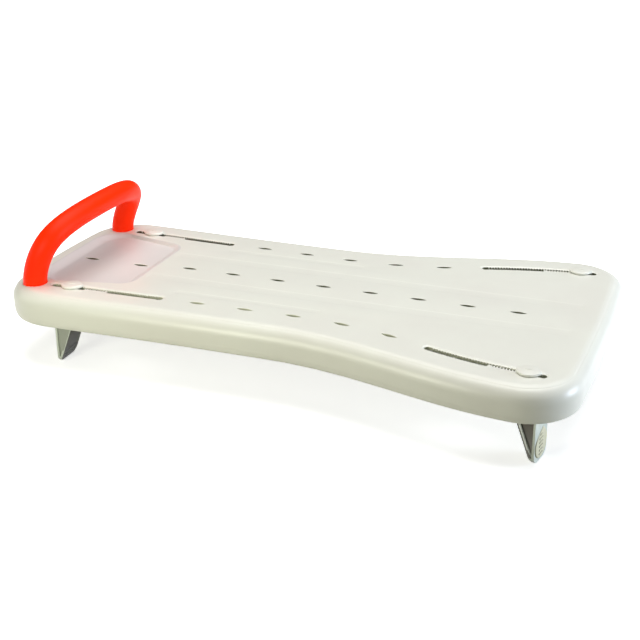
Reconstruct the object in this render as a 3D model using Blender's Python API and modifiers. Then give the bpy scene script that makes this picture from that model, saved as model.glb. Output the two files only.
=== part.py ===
"""Bath board: a moulded deck with a soap tray, four toothed slots, four sliding legs and a grab handle.

Metres, with +X along the board towards its wide free end, +Y across it and +Z up.
The feet of the legs stand on z = 0, and the origin lies below the middle of the board.
"""
import math

import bmesh
import bpy
from mathutils import Matrix, Vector

# Clearances
gap = 0.0003
tooth_gap = 0.00035

# Deck: outline, wall and skirt
board_length = 0.695
half_length = board_length / 2
foot_drop = 0.093
skirt_depth = 0.037
deck_wall = 0.004
rim_radius = 0.017
lower_edge_radius = 0.003
end_bow = 0.0027
left_half_width = 0.141
waist_half_width = left_half_width - 0.0048
right_half_width = 0.1875
waist_x = 0.3055 - half_length
flare_start_x = 0.3495 - half_length
flare_end_x = half_length - 0.0455
left_corner_radius = 0.065
right_corner_radius = 0.0595

# Soap tray
tray_depth = 0.0043
tray_inner_x = 0.1444 - half_length
tray_outer_x = 0.0394 - half_length
tray_inner_half_width = left_half_width - 0.071
tray_outer_half_width = left_half_width - 0.059
tray_inner_radius = 0.018
tray_outer_radius = 0.030
tray_side_slope = 0.003
tray_end_slope = 0.015
tray_wall_side = 0.004
tray_wall_end = 0.009

# Drain holes
drain_length = 0.020
drain_width = 0.006
drain_bevel = 0.001
drain_pitch = 0.083453 * board_length
drain_first_x = -0.22748 * board_length
middle_drain_count = 8
outer_drain_first_x = drain_first_x + drain_pitch
outer_drain_inset = (0.0423, 0.0435, 0.0451, 0.0483, 0.0505)
tray_drain_x = (tray_inner_x - 0.022, tray_outer_x + 0.015)

# Deck: ribs below, and the bars that lie on the bath's rims
rib_wall = 0.0022
rib_bite = 0.0007
rib_depth = 0.018
cross_rib_first_x = drain_first_x + drain_pitch / 2
cross_rib_count = 6
short_rib_count = 2
tray_rib_first_x = tray_inner_x + 0.0071
tray_rib_pitch = 0.063
tray_rib_count = 2
inner_rib_y = 0.046
left_bay_y = left_half_width - 0.065
right_bay_y = right_half_width - 0.0875
rest_bar_wall = 0.007
left_rest_bar_x = 0.0179 - half_length
right_rest_bar_x = half_length - 0.0143

# Slots with a rack on both walls
slot_root_half = 0.0039
slot_tip_half = 0.0030
slot_bevel = 0.0013
slot_bevel_depth = 0.0015
tooth_pitch = 0.0033
left_slot_inner = (0.2038 - half_length, left_half_width - 0.0464)
left_slot_outer = (0.0614 - half_length, left_half_width - 0.0421)
left_slot_bow = 0.0
left_knob_from_end = 0.0270
right_slot_inner = (half_length - 0.1716, right_half_width - 0.0672)
right_slot_outer = (half_length - 0.0376, right_half_width - 0.0410)
right_slot_bow = 0.0045
right_knob_from_end = 0.0213
left_teeth_out = 6
right_teeth_out = 4
teeth_in = 21

# Rails below each slot
rail_inner = 0.0120
rail_wall = 0.0025
rail_depth = 0.014
rail_lip = 0.003
rail_lip_wall = 0.0025
rail_run_on = 0.0015

# Leg: carriage in the rails
carriage_front = 0.0120
carriage_back = 0.0140
strip_start = 0.0155
strip_end = 0.0455
strip_drop = 0.0013
tail_half_width = 0.007
neck_inset = 0.0006
tail_wall = 0.0025
chamber_half_width = 0.0039
chamber_end = 0.0145
chamber_depth = 0.0097
partition_wall = 0.0012

# Leg: folded plate below the rails
flange_reach = 0.0155
flange_angle = math.radians(18.5)
flange_wall = 0.0017
plate_face = 0.0175
plate_wall = 0.0018
floor_wall = 0.003
web_wall = 0.0025
cavity_end_width = 0.0005
foot_radius = 0.0025
leg_top_half_width = 0.0142
leg_half_width = 0.0150
leg_widest_drop = 0.074
leg_corner_radius = 0.007
right_leg_angle = math.radians(10.0)
recess_depth = 0.0005
recess_rim = 0.002
recess_top = 0.026
recess_split = 0.0825
recess_rib = 0.003
recess_end = 0.0895
recess_radius = 0.0025

# Pad on the leg's outer face
pad_face = 0.0200
pad_seat_depth = 0.0004
pad_half_width = 0.0140
pad_top_drop = 0.061
pad_widest_drop = 0.074
pad_bottom_drop = 0.0905
pad_rib_count = 6
pad_rib_first_drop = 0.0675
pad_rib_pitch = 0.0037
pad_rib_wall = 0.0012
pad_rib_height = 0.0006
pad_rib_radius = 0.0004
pad_rib_share = 0.45
peg_radius = 0.0015
peg_offset = 0.006
peg_drop = 0.072
peg_overrun = 0.0005

# Latch: toothed key, spring and knob cap
latch_rise = 0.003
key_teeth = 3
flange_half_length = 0.0058
flange_half_width = 0.0049
key_flange_wall = 0.0022
spring_length = 0.0079
spring_radius = 0.0042
spring_wire_radius = 0.0004
spring_turns = 3.0
spring_bore_clearance = 0.0003
cap_half_length = 0.0135
cap_half_width = 0.0115
cap_height = 0.0046
cap_taper = 0.8
cap_levels = ((0.95, 0.0), (1.0, 0.22), (0.90, 0.68), (0.55, 1.0))
nib_half_length = 0.0040
nib_half_width = 0.0013
nib_height = 0.0005
stem_half_length = 0.0055
prong_half_length = 0.0024
prong_half_width = 0.0015
prong_split = 0.0006
hook_overhang = 0.0006
hook_wall = 0.0014

# Handle
tube_radius = 0.0137
foot_x = 0.0391 - half_length
foot_y = left_half_width - 0.040
foot_straight = 0.003
arch_height = 0.0699
arch_shoulder_height = 0.0518
arch_shoulder_y = foot_y + 0.0087
arch_lean = 0.031
arch_lean_power = 1.44
socket_depth = 0.003
socket_wall = 0.0025
boss_radius = 0.008
boss_depth = 0.016
bolt_radius = 0.0025
bolt_reach = 0.018
bolt_head_radius = 0.0045
bolt_head_height = 0.0032
washer_radius = 0.007
washer_wall = 0.001

# Levels measured from the top of the deck, upwards
underside = -deck_wall
carriage_top = underside - gap
rail_bottom = underside - rail_depth
carriage_bottom = rail_bottom + rail_lip_wall + gap
leg_top = rail_bottom - gap
key_top = underside - gap
key_flange_top = key_top - latch_rise
key_flange_bottom = key_flange_top - key_flange_wall
key_ledge = key_flange_bottom - gap
spring_top = key_flange_bottom - gap
spring_bottom = spring_top - spring_length
spring_seat = spring_bottom - gap
cavity_top = spring_seat - floor_wall

# Smoothness of round stretches: how many steps each gets
arc_steps = 6
corner_steps = 7
tray_corner_steps = 5
end_steps = 3
side_steps = 15
rim_segments = 3
edge_segments = 2
socket_sides = 24
bore_sides = 12
spring_bore_sides = 14
washer_sides = 18
peg_sides = 8
spring_turn_sides = 6
cap_steps = 8
nib_steps = 4
arch_steps = 22
track_step = 0.018

# Working allowances for cuts and joins
sink = 0.001
over = 0.001
rack_overlap = 0.00025
weld_distance = 0.000002
largest_corner = 0.45


def blend(share):
    """A smooth step from 0 to 1."""
    share = min(max(share, 0.0), 1.0)
    return (1 - math.cos(math.pi * share)) / 2


def evenly(start, end, count):
    """Count + 1 values from start to end."""
    return [start + (end - start) * i / count for i in range(count + 1)]


def arc(centre, radius, first, last, steps):
    """Points of an arc about a centre, between two angles."""
    return [(centre[0] + radius * math.cos(turn), centre[1] + radius * math.sin(turn))
            for turn in evenly(first, last, steps)]


def rounded_box(half_width, low, high, radius, steps):
    """A rounded rectangle, centred across and running from low to high."""
    radius = min(radius, largest_corner * (high - low), largest_corner * 2 * half_width)
    reach = half_width - radius
    corners = ((reach, low + radius, -0.5), (reach, high - radius, 0.0),
               (-reach, high - radius, 0.5), (-reach, low + radius, 1.0))
    return [point for x, y, turn in corners
            for point in arc((x, y), radius, turn * math.pi, (turn + 0.5) * math.pi, steps)]


def rectangle(x_low, x_high, y_low, y_high):
    """Four corners, counter-clockwise."""
    return [(x_low, y_low), (x_high, y_low), (x_high, y_high), (x_low, y_high)]


def stadium(start, end, half_width, step):
    """A long outline with round ends that follows a track: pairs of run and across."""
    low = start + half_width
    high = end - half_width
    count = max(1, math.ceil((high - low) / step))
    near = [(run, -half_width) for run in evenly(low, high, count)]
    far = [(run, half_width) for run in evenly(high, low, count)]
    outer_end = arc((high, 0), half_width, -math.pi / 2, math.pi / 2, arc_steps)[1:-1]
    inner_end = arc((low, 0), half_width, math.pi / 2, 3 * math.pi / 2, arc_steps)[1:-1]
    return near + outer_end + far + inner_end


def strip(start, end, low, high, step):
    """A band with square ends that follows a track, between two places across it."""
    count = max(1, math.ceil((end - start) / step))
    near = [(run, low) for run in evenly(start, end, count)]
    far = [(run, high) for run in evenly(end, start, count)]
    return near + far


def teeth(low, high, root, tip):
    """One wall of a rack: roots at whole pitches from the knob's place and tips between them."""
    first = math.ceil(low / tooth_pitch * 2)
    last = math.floor(high / tooth_pitch * 2)
    return [(i * tooth_pitch / 2, root if i % 2 == 0 else tip) for i in range(first, last + 1)]


def rack_outline(start, end):
    """The slot's lower part: a rack on both walls and round ends."""
    low = start + slot_root_half
    high = end - slot_root_half
    wall = teeth(low, high, slot_root_half, slot_tip_half)
    near = [(run, -across) for run, across in wall]
    outer_end = arc((high, 0), slot_root_half, -math.pi / 2, math.pi / 2, arc_steps)
    inner_end = arc((low, 0), slot_root_half, math.pi / 2, 3 * math.pi / 2, arc_steps)
    return near + outer_end + wall[::-1] + inner_end


class Track:
    """A slot's centre line on the far side, straight or bowed outwards, and the knob's place on it."""

    def __init__(self, inner, outer, bow, knob_from_end):
        inner = Vector(inner)
        outer = Vector(outer)
        chord = outer - inner
        self.along = chord.normalized()
        side = Vector((-self.along.y, self.along.x))
        self.across = side if side.y > 0 else -side
        self.middle = (inner + outer) / 2
        half = chord.length / 2
        self.radius = (half ** 2 + bow ** 2) / (2 * bow) if bow else None
        self.half_length = self.radius * math.asin(half / self.radius) if bow else half
        self.bow = bow
        self.knob = self.half_length - knob_from_end
        self.start = -self.half_length - self.knob
        self.end = self.half_length - self.knob
        self.step = track_step if bow else 1.0

    def centre(self):
        """The middle of the arc that the slot follows."""
        return self.middle + self.across * (self.bow - self.radius)

    def place(self, run, across):
        """A point on the far side, by its run outwards from the knob and its distance across."""
        run = run + self.knob
        if self.radius is None:
            return self.middle + self.along * run + self.across * across
        turn = run / self.radius
        direction = self.along * math.sin(turn) + self.across * math.cos(turn)
        return self.centre() + direction * (self.radius + across)

    def local(self, run, across, hand):
        """The same point seen from the knob's place, with the first axis outwards along the slot."""
        if self.radius is None:
            return (run, hand * across)
        turn = run / self.radius
        reach = self.radius + across
        return (reach * math.sin(turn), hand * (reach * math.cos(turn) - self.radius))

    def heading(self):
        """The angle of the outward direction at the knob, on the far side."""
        ahead = self.place(tooth_pitch, 0) - self.place(-tooth_pitch, 0)
        return math.atan2(ahead.y, ahead.x)


left_track = Track(left_slot_inner, left_slot_outer, left_slot_bow, left_knob_from_end)
right_track = Track(right_slot_inner, right_slot_outer, right_slot_bow, right_knob_from_end)
tracks = {"left": left_track, "right": right_track}
sides = {"near": -1, "far": 1}


def side_half_width(x):
    """Half the board's width, before its corners are rounded."""
    if x < waist_x:
        share = (x + half_length) / (waist_x + half_length)
        return left_half_width + (waist_half_width - left_half_width) * blend(share)
    share = (x - flare_start_x) / (flare_end_x - flare_start_x)
    return waist_half_width + (right_half_width - waist_half_width) * blend(share)


def corner(end):
    """Centre and radius of the rounded corner at one end, on the far side."""
    radius = right_corner_radius if end > 0 else left_corner_radius
    x = end * (half_length - end_bow - radius)
    return x, side_half_width(x) - radius, radius


def board_outline(inset):
    """The board seen from above, drawn in by an amount: bowed ends, round corners and flared sides."""
    right_x, right_y, right_radius = corner(1)
    left_x, left_y, left_radius = corner(-1)
    half = half_length - inset
    right_end = [(half - end_bow * (y / right_y) ** 2, y) for y in evenly(0, right_y, end_steps)]
    right_corner = arc((right_x, right_y), right_radius - inset, 0, math.pi / 2, corner_steps)
    side = [(x, side_half_width(x) - inset) for x in evenly(right_x, left_x, side_steps)]
    left_corner = arc((left_x, left_y), left_radius - inset, math.pi / 2, math.pi, corner_steps)
    left_end = [(-half + end_bow * (y / left_y) ** 2, y) for y in evenly(left_y, 0, end_steps)]
    far = right_end[:-1] + right_corner[:-1] + side[:-1] + left_corner[:-1] + left_end
    return far + [(x, -y) for x, y in far[-2:0:-1]]


def finished(work, name):
    """A mesh data block from an edited mesh, with its faces turned outwards."""
    bmesh.ops.remove_doubles(work, verts=work.verts, dist=weld_distance)
    bmesh.ops.recalc_face_normals(work, faces=work.faces)
    mesh = bpy.data.meshes.new(name)
    work.to_mesh(mesh)
    work.free()
    return mesh


def baked(holder, name):
    """An object's shape with its modifiers, as a mesh; the object itself is removed."""
    bpy.context.scene.collection.objects.link(holder)
    bpy.context.view_layer.update()
    graph = bpy.context.evaluated_depsgraph_get()
    shape = bpy.data.meshes.new_from_object(holder.evaluated_get(graph))
    bpy.data.objects.remove(holder)
    work = bmesh.new()
    work.from_mesh(shape)
    bpy.data.meshes.remove(shape)
    return finished(work, name)


def plate(name, outlines, low, high):
    """Flat outlines, with any inner ones as holes, filled and thickened between two heights."""
    curve = bpy.data.curves.new(name, "CURVE")
    curve.dimensions = "2D"
    curve.fill_mode = "BOTH"
    curve.extrude = (high - low) / 2
    for outline in outlines:
        spline = curve.splines.new("POLY")
        spline.points.add(len(outline) - 1)
        for point, (x, y) in zip(spline.points, outline):
            point.co = (x, y, 0, 1)
        spline.use_cyclic_u = True
    mesh = baked(bpy.data.objects.new(name, curve), name)
    mesh.transform(Matrix.Translation((0, 0, (low + high) / 2)))
    return mesh


def loft(name, bodies):
    """Closed bodies, each through rings of the same number of points, with flat ends."""
    work = bmesh.new()
    for rings in bodies:
        loops = [[work.verts.new(point) for point in ring] for ring in rings]
        for lower, upper in zip(loops, loops[1:]):
            for i in range(len(lower)):
                j = (i + 1) % len(lower)
                work.faces.new((lower[i], lower[j], upper[j], upper[i]))
        work.faces.new(loops[0][::-1])
        work.faces.new(loops[-1])
    return finished(work, name)


def together(name, meshes):
    """Several bodies that don't touch, in one mesh."""
    work = bmesh.new()
    for mesh in meshes:
        work.from_mesh(mesh)
    return finished(work, name)


def turned(name, centres, profile, steps):
    """Round bodies on upright axes: a profile of radius and height, from the top down, turned once."""
    points = [(0, profile[0][1]), *profile, (0, profile[-1][1])]
    outline = bpy.data.meshes.new(name)
    outline.from_pydata([(radius, 0, height) for radius, height in points],
                        [(i, i + 1) for i in range(len(points) - 1)], [])
    holder = bpy.data.objects.new(name, outline)
    turn = holder.modifiers.new("turn", "SCREW")
    turn.steps = steps
    turn.render_steps = steps
    turn.use_merge_vertices = True
    turn.merge_threshold = weld_distance
    body = baked(holder, name)
    copies = []
    for x, y in centres:
        copy = body.copy()
        copy.transform(Matrix.Translation((x, y, 0)))
        copies.append(copy)
    return together(name, copies)


def boxes(name, sizes):
    """Plain blocks, each given by its two opposite corners."""
    work = bmesh.new()
    for low, high in sizes:
        low = Vector(low)
        high = Vector(high)
        size = Matrix.Diagonal((*(high - low), 1))
        bmesh.ops.create_cube(work, size=1, matrix=Matrix.Translation((low + high) / 2) @ size)
    return finished(work, name)


def combined(base, tool, operation):
    """One closed mesh joined with, cut by or limited to another."""
    partner = bpy.data.objects.new("partner", tool)
    bpy.context.scene.collection.objects.link(partner)
    body = bpy.data.objects.new("body", base)
    step = body.modifiers.new("step", "BOOLEAN")
    step.operation = operation
    step.solver = "EXACT"
    step.object = partner
    result = baked(body, base.name)
    bpy.data.objects.remove(partner)
    return result


def level(points, height):
    """Flat points lifted to a height."""
    return [Vector((x, y, height)) for x, y in points]


def facing_out(mesh):
    """A flat shape drawn across and up, stood upright and thick along the outward axis."""
    mesh.transform(Matrix(((0, 0, 1, 0), (1, 0, 0, 0), (0, 1, 0, 0), (0, 0, 0, 1))))
    return mesh


def facing_across(mesh):
    """A flat shape drawn outwards and up, stood upright and thick across."""
    mesh.transform(Matrix.Rotation(math.pi / 2, 4, "X"))
    return mesh


def on_board(track, side, points):
    """A track's outline laid on the board at the near or the far side."""
    placed = [track.place(run, across) for run, across in points]
    return [(point.x, side * point.y) for point in placed]


def each_slot():
    """Every track with the side that it lies on."""
    return [(track, side) for track in tracks.values() for side in sides.values()]


def rounded_slab(inset):
    """The board's outline drawn in by an amount, with a rounded upper rim and no underside."""
    slab = plate("deck", [board_outline(inset)], -skirt_depth, -inset)
    work = bmesh.new()
    work.from_mesh(slab)
    below = [face for face in work.faces if face.normal.z < -0.9]
    bmesh.ops.delete(work, geom=below, context="FACES")
    above = [face for face in work.faces if face.normal.z > 0.9]
    bmesh.ops.dissolve_faces(work, faces=above)
    skin = bpy.data.meshes.new("deck")
    work.to_mesh(skin)
    work.free()
    holder = bpy.data.objects.new("deck", skin)
    rim = holder.modifiers.new("rim", "BEVEL")
    rim.width = rim_radius - inset
    rim.segments = rim_segments
    rim.limit_method = "ANGLE"
    rim.angle_limit = math.radians(60)
    return holder


def deck_shell():
    """The deck's skin, thickened inwards, with its outer lower edge rounded."""
    holder = rounded_slab(0)
    wall = holder.modifiers.new("wall", "SOLIDIFY")
    wall.thickness = deck_wall
    wall.offset = -1
    wall.use_even_offset = True
    work = bmesh.new()
    work.from_mesh(baked(holder, "deck"))
    edges = []
    for edge in work.edges:
        middle = (edge.verts[0].co + edge.verts[1].co) / 2
        if abs(middle.z + skirt_depth) > weld_distance:
            continue
        if any(face.normal.xy.dot(middle.xy) > abs(face.normal.z) * middle.length for face in edge.link_faces):
            edges.append(edge)
    bmesh.ops.bevel(work, geom=edges, offset=lower_edge_radius, segments=edge_segments, profile=0.5,
                    affect="EDGES")
    return finished(work, "deck")


def deck_core():
    """The room inside the deck's wall and a little of the wall itself, to which ribs are limited."""
    core = baked(rounded_slab(deck_wall - rib_bite), "core")
    work = bmesh.new()
    work.from_mesh(core)
    rim = [edge for edge in work.edges if edge.is_boundary]
    bmesh.ops.contextual_create(work, geom=rim)
    return finished(work, "core")


def tray_outline(grow_side, grow_end):
    """The soap tray from above, grown by an amount at its sides and at its outer end."""
    inner = tray_inner_x + grow_side
    outer = tray_outer_x - grow_end
    slant = (tray_outer_half_width - tray_inner_half_width) / (tray_inner_x - tray_outer_x)
    inner_half = tray_inner_half_width + grow_side - slant * grow_side
    outer_half = tray_outer_half_width + grow_side + slant * grow_end
    inner_radius = tray_inner_radius + grow_side
    outer_radius = tray_outer_radius + grow_side
    far = arc((inner - inner_radius, inner_half - inner_radius), inner_radius,
              0, math.pi / 2, tray_corner_steps)
    far += arc((outer + outer_radius, outer_half - outer_radius), outer_radius,
               math.pi / 2, math.pi, tray_corner_steps)
    return far + [(x, -y) for x, y in far[::-1]]


def drain(x, y, tilt, top):
    """A drain hole's cutter: a pointed oval with a bevelled mouth, through the deck."""
    rings = []
    depth = top - deck_wall - sink
    for height, grow in ((depth, 0), (top - drain_bevel, 0), (top, drain_bevel), (top + over, drain_bevel)):
        half_length = drain_length / 2 + grow
        half_width = drain_width / 2 + grow
        ring = []
        for along in evenly(-1, 1, 4)[:-1]:
            ring.append((along * half_length, -half_width * (1 - along ** 2)))
        for along in evenly(1, -1, 4)[:-1]:
            ring.append((along * half_length, half_width * (1 - along ** 2)))
        turned_ring = Matrix.Rotation(tilt, 2)
        rings.append([Vector((*(turned_ring @ Vector(point) + Vector((x, y))), height)) for point in ring])
    return rings


def drains():
    """All drain holes: the middle row, the tray's two and a row beside each edge."""
    holes = [drain(drain_first_x + i * drain_pitch, 0, 0, 0) for i in range(middle_drain_count)]
    holes += [drain(x, 0, 0, -tray_depth) for x in tray_drain_x]
    for i, inset in enumerate(outer_drain_inset):
        x = outer_drain_first_x + i * drain_pitch
        y = side_half_width(x) - inset
        ahead = side_half_width(x + drain_length / 2) - side_half_width(x - drain_length / 2)
        tilt = math.atan2(ahead, drain_length)
        holes += [drain(x, side * y, side * tilt, 0) for side in sides.values()]
    return loft("drains", holes)


def rails():
    """L-shaped rails that hang below both edges of each slot and carry the leg's carriage."""
    hook = rail_inner - rail_lip
    section = [(rail_inner, underside + sink), (rail_inner, rail_bottom + rail_lip_wall),
               (hook, rail_bottom + rail_lip_wall), (hook, rail_bottom),
               (rail_inner + rail_wall, rail_bottom), (rail_inner + rail_wall, underside + sink)]
    bodies = []
    for track, side in each_slot():
        first = -teeth_in * tooth_pitch - carriage_back - rail_run_on
        last = teeth_out(track) * tooth_pitch + carriage_front + rail_run_on
        count = max(1, math.ceil((last - first) / track.step))
        for hand in (-1, 1):
            bodies.append([[Vector((*on_board(track, side, [(run, hand * across)])[0], height))
                            for across, height in section] for run in evenly(first, last, count)])
    return loft("rails", bodies)


def teeth_out(track):
    """How many teeth the leg can move outwards."""
    return left_teeth_out if track is left_track else right_teeth_out


def cross_ribs():
    """Thin walls across the underside, and the two bars that lie on the bath's rims."""
    low = underside - rib_depth
    half = rib_wall / 2
    reach = max(left_half_width, right_half_width)
    sizes = []
    for i in range(cross_rib_count):
        x = cross_rib_first_x + i * drain_pitch
        sizes.append(((x - half, -reach, low), (x + half, reach, 0)))
    for i in range(short_rib_count):
        x = cross_rib_first_x + (cross_rib_count + i) * drain_pitch
        sizes.append(((x - half, -right_bay_y, low), (x + half, right_bay_y, 0)))
    for i in range(tray_rib_count):
        x = tray_rib_first_x - i * tray_rib_pitch
        sizes.append(((x - half, -left_bay_y, low), (x + half, left_bay_y, 0)))
    for x in (left_rest_bar_x, right_rest_bar_x):
        sizes.append(((x - rest_bar_wall / 2, -reach, -skirt_depth), (x + rest_bar_wall / 2, reach, 0)))
    return combined(boxes("cross_ribs", sizes), deck_core(), "INTERSECT")


def long_ribs():
    """Thin walls along the underside: two inner ones, and one beside each leg's bay."""
    top = underside + sink
    low = underside - rib_depth
    half = rib_wall / 2
    last_cross = cross_rib_first_x + (cross_rib_count - 1) * drain_pitch
    walls = ((inner_rib_y, left_rest_bar_x, right_rest_bar_x),
             (left_bay_y, left_rest_bar_x, cross_rib_first_x),
             (right_bay_y, last_cross, right_rest_bar_x))
    sizes = []
    for y, start, end in walls:
        for side in sides.values():
            sizes.append(((start, side * y - half, low), (end, side * y + half, top)))
    return combined(boxes("long_ribs", sizes), deck_core(), "INTERSECT")


def slot_mouths():
    """The bevel along the upper edge of each slot."""
    bodies = []
    for track, side in each_slot():
        rings = []
        for height, grow in ((-slot_bevel_depth, 0), (0, slot_bevel), (over, slot_bevel)):
            outline = stadium(track.start - grow, track.end + grow, slot_root_half + grow, track.step)
            rings.append(level(on_board(track, side, outline), height))
        bodies.append(rings)
    return loft("slot_mouths", bodies)


def racks():
    """The toothed lower part of each slot."""
    outlines = [on_board(track, side, rack_outline(track.start, track.end))
                for track, side in each_slot()]
    return plate("racks", outlines, underside - sink, -slot_bevel_depth + rack_overlap)


def deck_mesh():
    """The deck: skin, tray, ribs, rails and bosses, then the tray, slots, holes and sockets cut out."""
    feet = [(foot_x, side * foot_y) for side in sides.values()]
    block = plate("block", [tray_outline(tray_wall_side, tray_wall_end)],
                  -tray_depth - deck_wall, underside + sink)
    seat_radius = tube_radius + gap + socket_wall
    seat_bottom = -socket_depth - deck_wall
    boss = turned("bosses", feet, ((seat_radius, underside + sink), (seat_radius, seat_bottom),
                                   (boss_radius, seat_bottom), (boss_radius, underside - boss_depth)),
                  socket_sides)
    bore = bolt_radius + gap
    socket = turned("sockets", feet, ((tube_radius + gap, over), (tube_radius + gap, -socket_depth),
                                      (bore, -socket_depth), (bore, underside - boss_depth - over)),
                    socket_sides)
    tray = loft("tray", [[level(tray_outline(0, 0), -tray_depth),
                          level(tray_outline(tray_side_slope, tray_end_slope), 0),
                          level(tray_outline(tray_side_slope, tray_end_slope), over)]])
    mesh = deck_shell()
    for piece in (block, cross_ribs(), long_ribs(), rails(), boss):
        mesh = combined(mesh, piece, "UNION")
    for cutter in (tray, slot_mouths(), racks(), drains(), socket):
        mesh = combined(mesh, cutter, "DIFFERENCE")
    return mesh


def flange_out(drop):
    """How far outwards the sloping flange's inner-facing surface lies at a depth below the deck."""
    return -flange_reach + math.tan(flange_angle) * drop


def folded_profile():
    """The leg from the side: an upright plate and a sloping flange that meet in a round foot."""
    centre_drop = foot_drop - foot_radius
    centre_out = min(flange_out(centre_drop) + foot_radius / math.cos(flange_angle), plate_face)
    foot = arc((centre_out, -centre_drop), foot_radius, math.pi + flange_angle, 1.5 * math.pi, 4)
    return [(flange_out(-leg_top), leg_top)] + foot + [(plate_face, -foot_drop), (plate_face, leg_top)]


def cavity_profile():
    """The space between the plate and the flange, from the side."""
    plate_inside = plate_face - plate_wall
    shift = flange_wall / math.cos(flange_angle)
    end_drop = (plate_inside - cavity_end_width - shift + flange_reach) / math.tan(flange_angle)
    return [(flange_out(-cavity_top) + shift, cavity_top), (flange_out(end_drop) + shift, -end_drop),
            (plate_inside, -end_drop), (plate_inside, cavity_top)]


def leg_front():
    """The leg from its outer side: slightly wider low down, with rounded lower corners."""
    bottom = leg_half_width - leg_corner_radius
    lower = arc((bottom, -foot_drop + leg_corner_radius), leg_corner_radius, -math.pi / 2, 0, 4)
    edge = []
    for drop in evenly(leg_widest_drop, -leg_top, 3):
        share = (drop + leg_top) / (leg_widest_drop + leg_top)
        edge.append((leg_top_half_width + (leg_half_width - leg_top_half_width) * blend(share), -drop))
    half = lower + edge
    return half + [(-x, y) for x, y in half[::-1]]


def recesses():
    """Two shallow trays in the flange's face, with a rib between them."""
    half_width = leg_top_half_width - recess_rim
    outlines = [rounded_box(half_width, recess_top, recess_split, recess_radius, 2),
                rounded_box(half_width, recess_split + recess_rib, recess_end, recess_radius, 2)]
    mesh = plate("recesses", outlines, -recess_depth, over)
    across = Vector((0, 1, 0))
    down = Vector((math.sin(flange_angle), 0, -math.cos(flange_angle)))
    out = across.cross(down)
    turn = Matrix((across, down, out)).transposed().to_4x4()
    mesh.transform(Matrix.Translation((-flange_reach, 0, 0)) @ turn)
    return mesh


def leaf(half_width, top_drop, widest_drop, bottom_drop):
    """A leaf: pointed at the top and round at the bottom."""
    upper = [(half_width * (1 - (1 - share) ** 2), -top_drop - share * (widest_drop - top_drop))
             for share in evenly(0, 1, 4)[1:]]
    lower = [(half_width * math.cos(turn), -widest_drop - (bottom_drop - widest_drop) * math.sin(turn))
             for turn in evenly(0, math.pi / 2, 5)[1:-1]]
    half = upper + lower
    return [(0, -top_drop)] + [(-x, y) for x, y in half] + [(0, -bottom_drop)] + half[::-1]


def pegs(radius, start, end):
    """The pad's two pegs, or the holes that take them."""
    outlines = [arc((side * peg_offset, -peg_drop), radius, 0, 2 * math.pi, peg_sides)[:-1]
                for side in (-1, 1)]
    return facing_out(plate("pegs", outlines, start, end))


def leg_mesh(track, hand):
    """A leg: carriage and cover strip that follow the slot, and the folded plate turned below them."""
    def band(name, start, end, half_width, low, high):
        points = strip(start, end, -half_width, half_width, track.step)
        return plate(name, [[track.local(run, across, hand) for run, across in points]], low, high)

    carriage_half = rail_inner - gap
    neck_half = rail_inner - rail_lip - gap
    strip_half = slot_tip_half - gap
    mesh = band("leg", -carriage_back, carriage_front, carriage_half, carriage_bottom, carriage_top)
    neck = band("neck", neck_inset - carriage_back, carriage_front - neck_inset, neck_half,
                leg_top - sink, carriage_bottom + sink)
    tail_top = carriage_top - gap
    tail = band("tail", -strip_end, sink - carriage_back, tail_half_width, tail_top - tail_wall, tail_top)
    cover = plate("cover", [[track.local(run, across, hand) for run, across in
                             stadium(-strip_end, -strip_start, strip_half, track.step)]],
                  tail_top - sink, -strip_drop)
    folded = facing_across(plate("folded", [folded_profile()], -leg_half_width - over, leg_half_width + over))
    front = facing_out(plate("front", [leg_front()], -flange_reach - over, plate_face + over))
    folded = combined(folded, front, "INTERSECT")
    pockets = [facing_across(plate("pocket", [cavity_profile()], low, high))
               for low, high in ((web_wall / 2, leg_half_width + over), (-leg_half_width - over, -web_wall / 2))]
    seat = leaf(pad_half_width + gap, pad_top_drop - gap, pad_widest_drop, pad_bottom_drop + gap)
    seat = facing_out(plate("seat", [seat], plate_face - pad_seat_depth, plate_face + over))
    holes = pegs(peg_radius + gap, plate_face - plate_wall - over, plate_face)
    for cutter in (*pockets, recesses(), seat, holes):
        folded = combined(folded, cutter, "DIFFERENCE")
    folded.transform(Matrix.Rotation(leg_twist(track, hand), 4, "Z"))
    for piece in (neck, tail, cover, folded):
        mesh = combined(mesh, piece, "UNION")
    pocket_half_length = flange_half_length + gap
    pocket_half_width = flange_half_width + gap
    chamber_start = pocket_half_length + partition_wall
    wells = [rectangle(-pocket_half_length, pocket_half_length, -pocket_half_width, pocket_half_width)]
    wells = plate("wells", wells, key_ledge, carriage_top + over)
    chambers = [rectangle(-chamber_end, -chamber_start, -chamber_half_width, chamber_half_width),
                rectangle(chamber_start, carriage_front + over, -chamber_half_width, chamber_half_width)]
    chambers = plate("chambers", chambers, carriage_top - chamber_depth, carriage_top + over)
    bore = spring_radius + spring_wire_radius + spring_bore_clearance
    bore = turned("bore", [(0, 0)], ((bore, key_ledge + sink), (bore, spring_seat)), spring_bore_sides)
    for cutter in (wells, chambers, bore):
        mesh = combined(mesh, cutter, "DIFFERENCE")
    return mesh


def leg_twist(track, hand):
    """How far the folded plate is turned from the slot's direction at the knob."""
    return hand * (right_leg_angle - track.heading()) if track is right_track else 0.0


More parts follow.
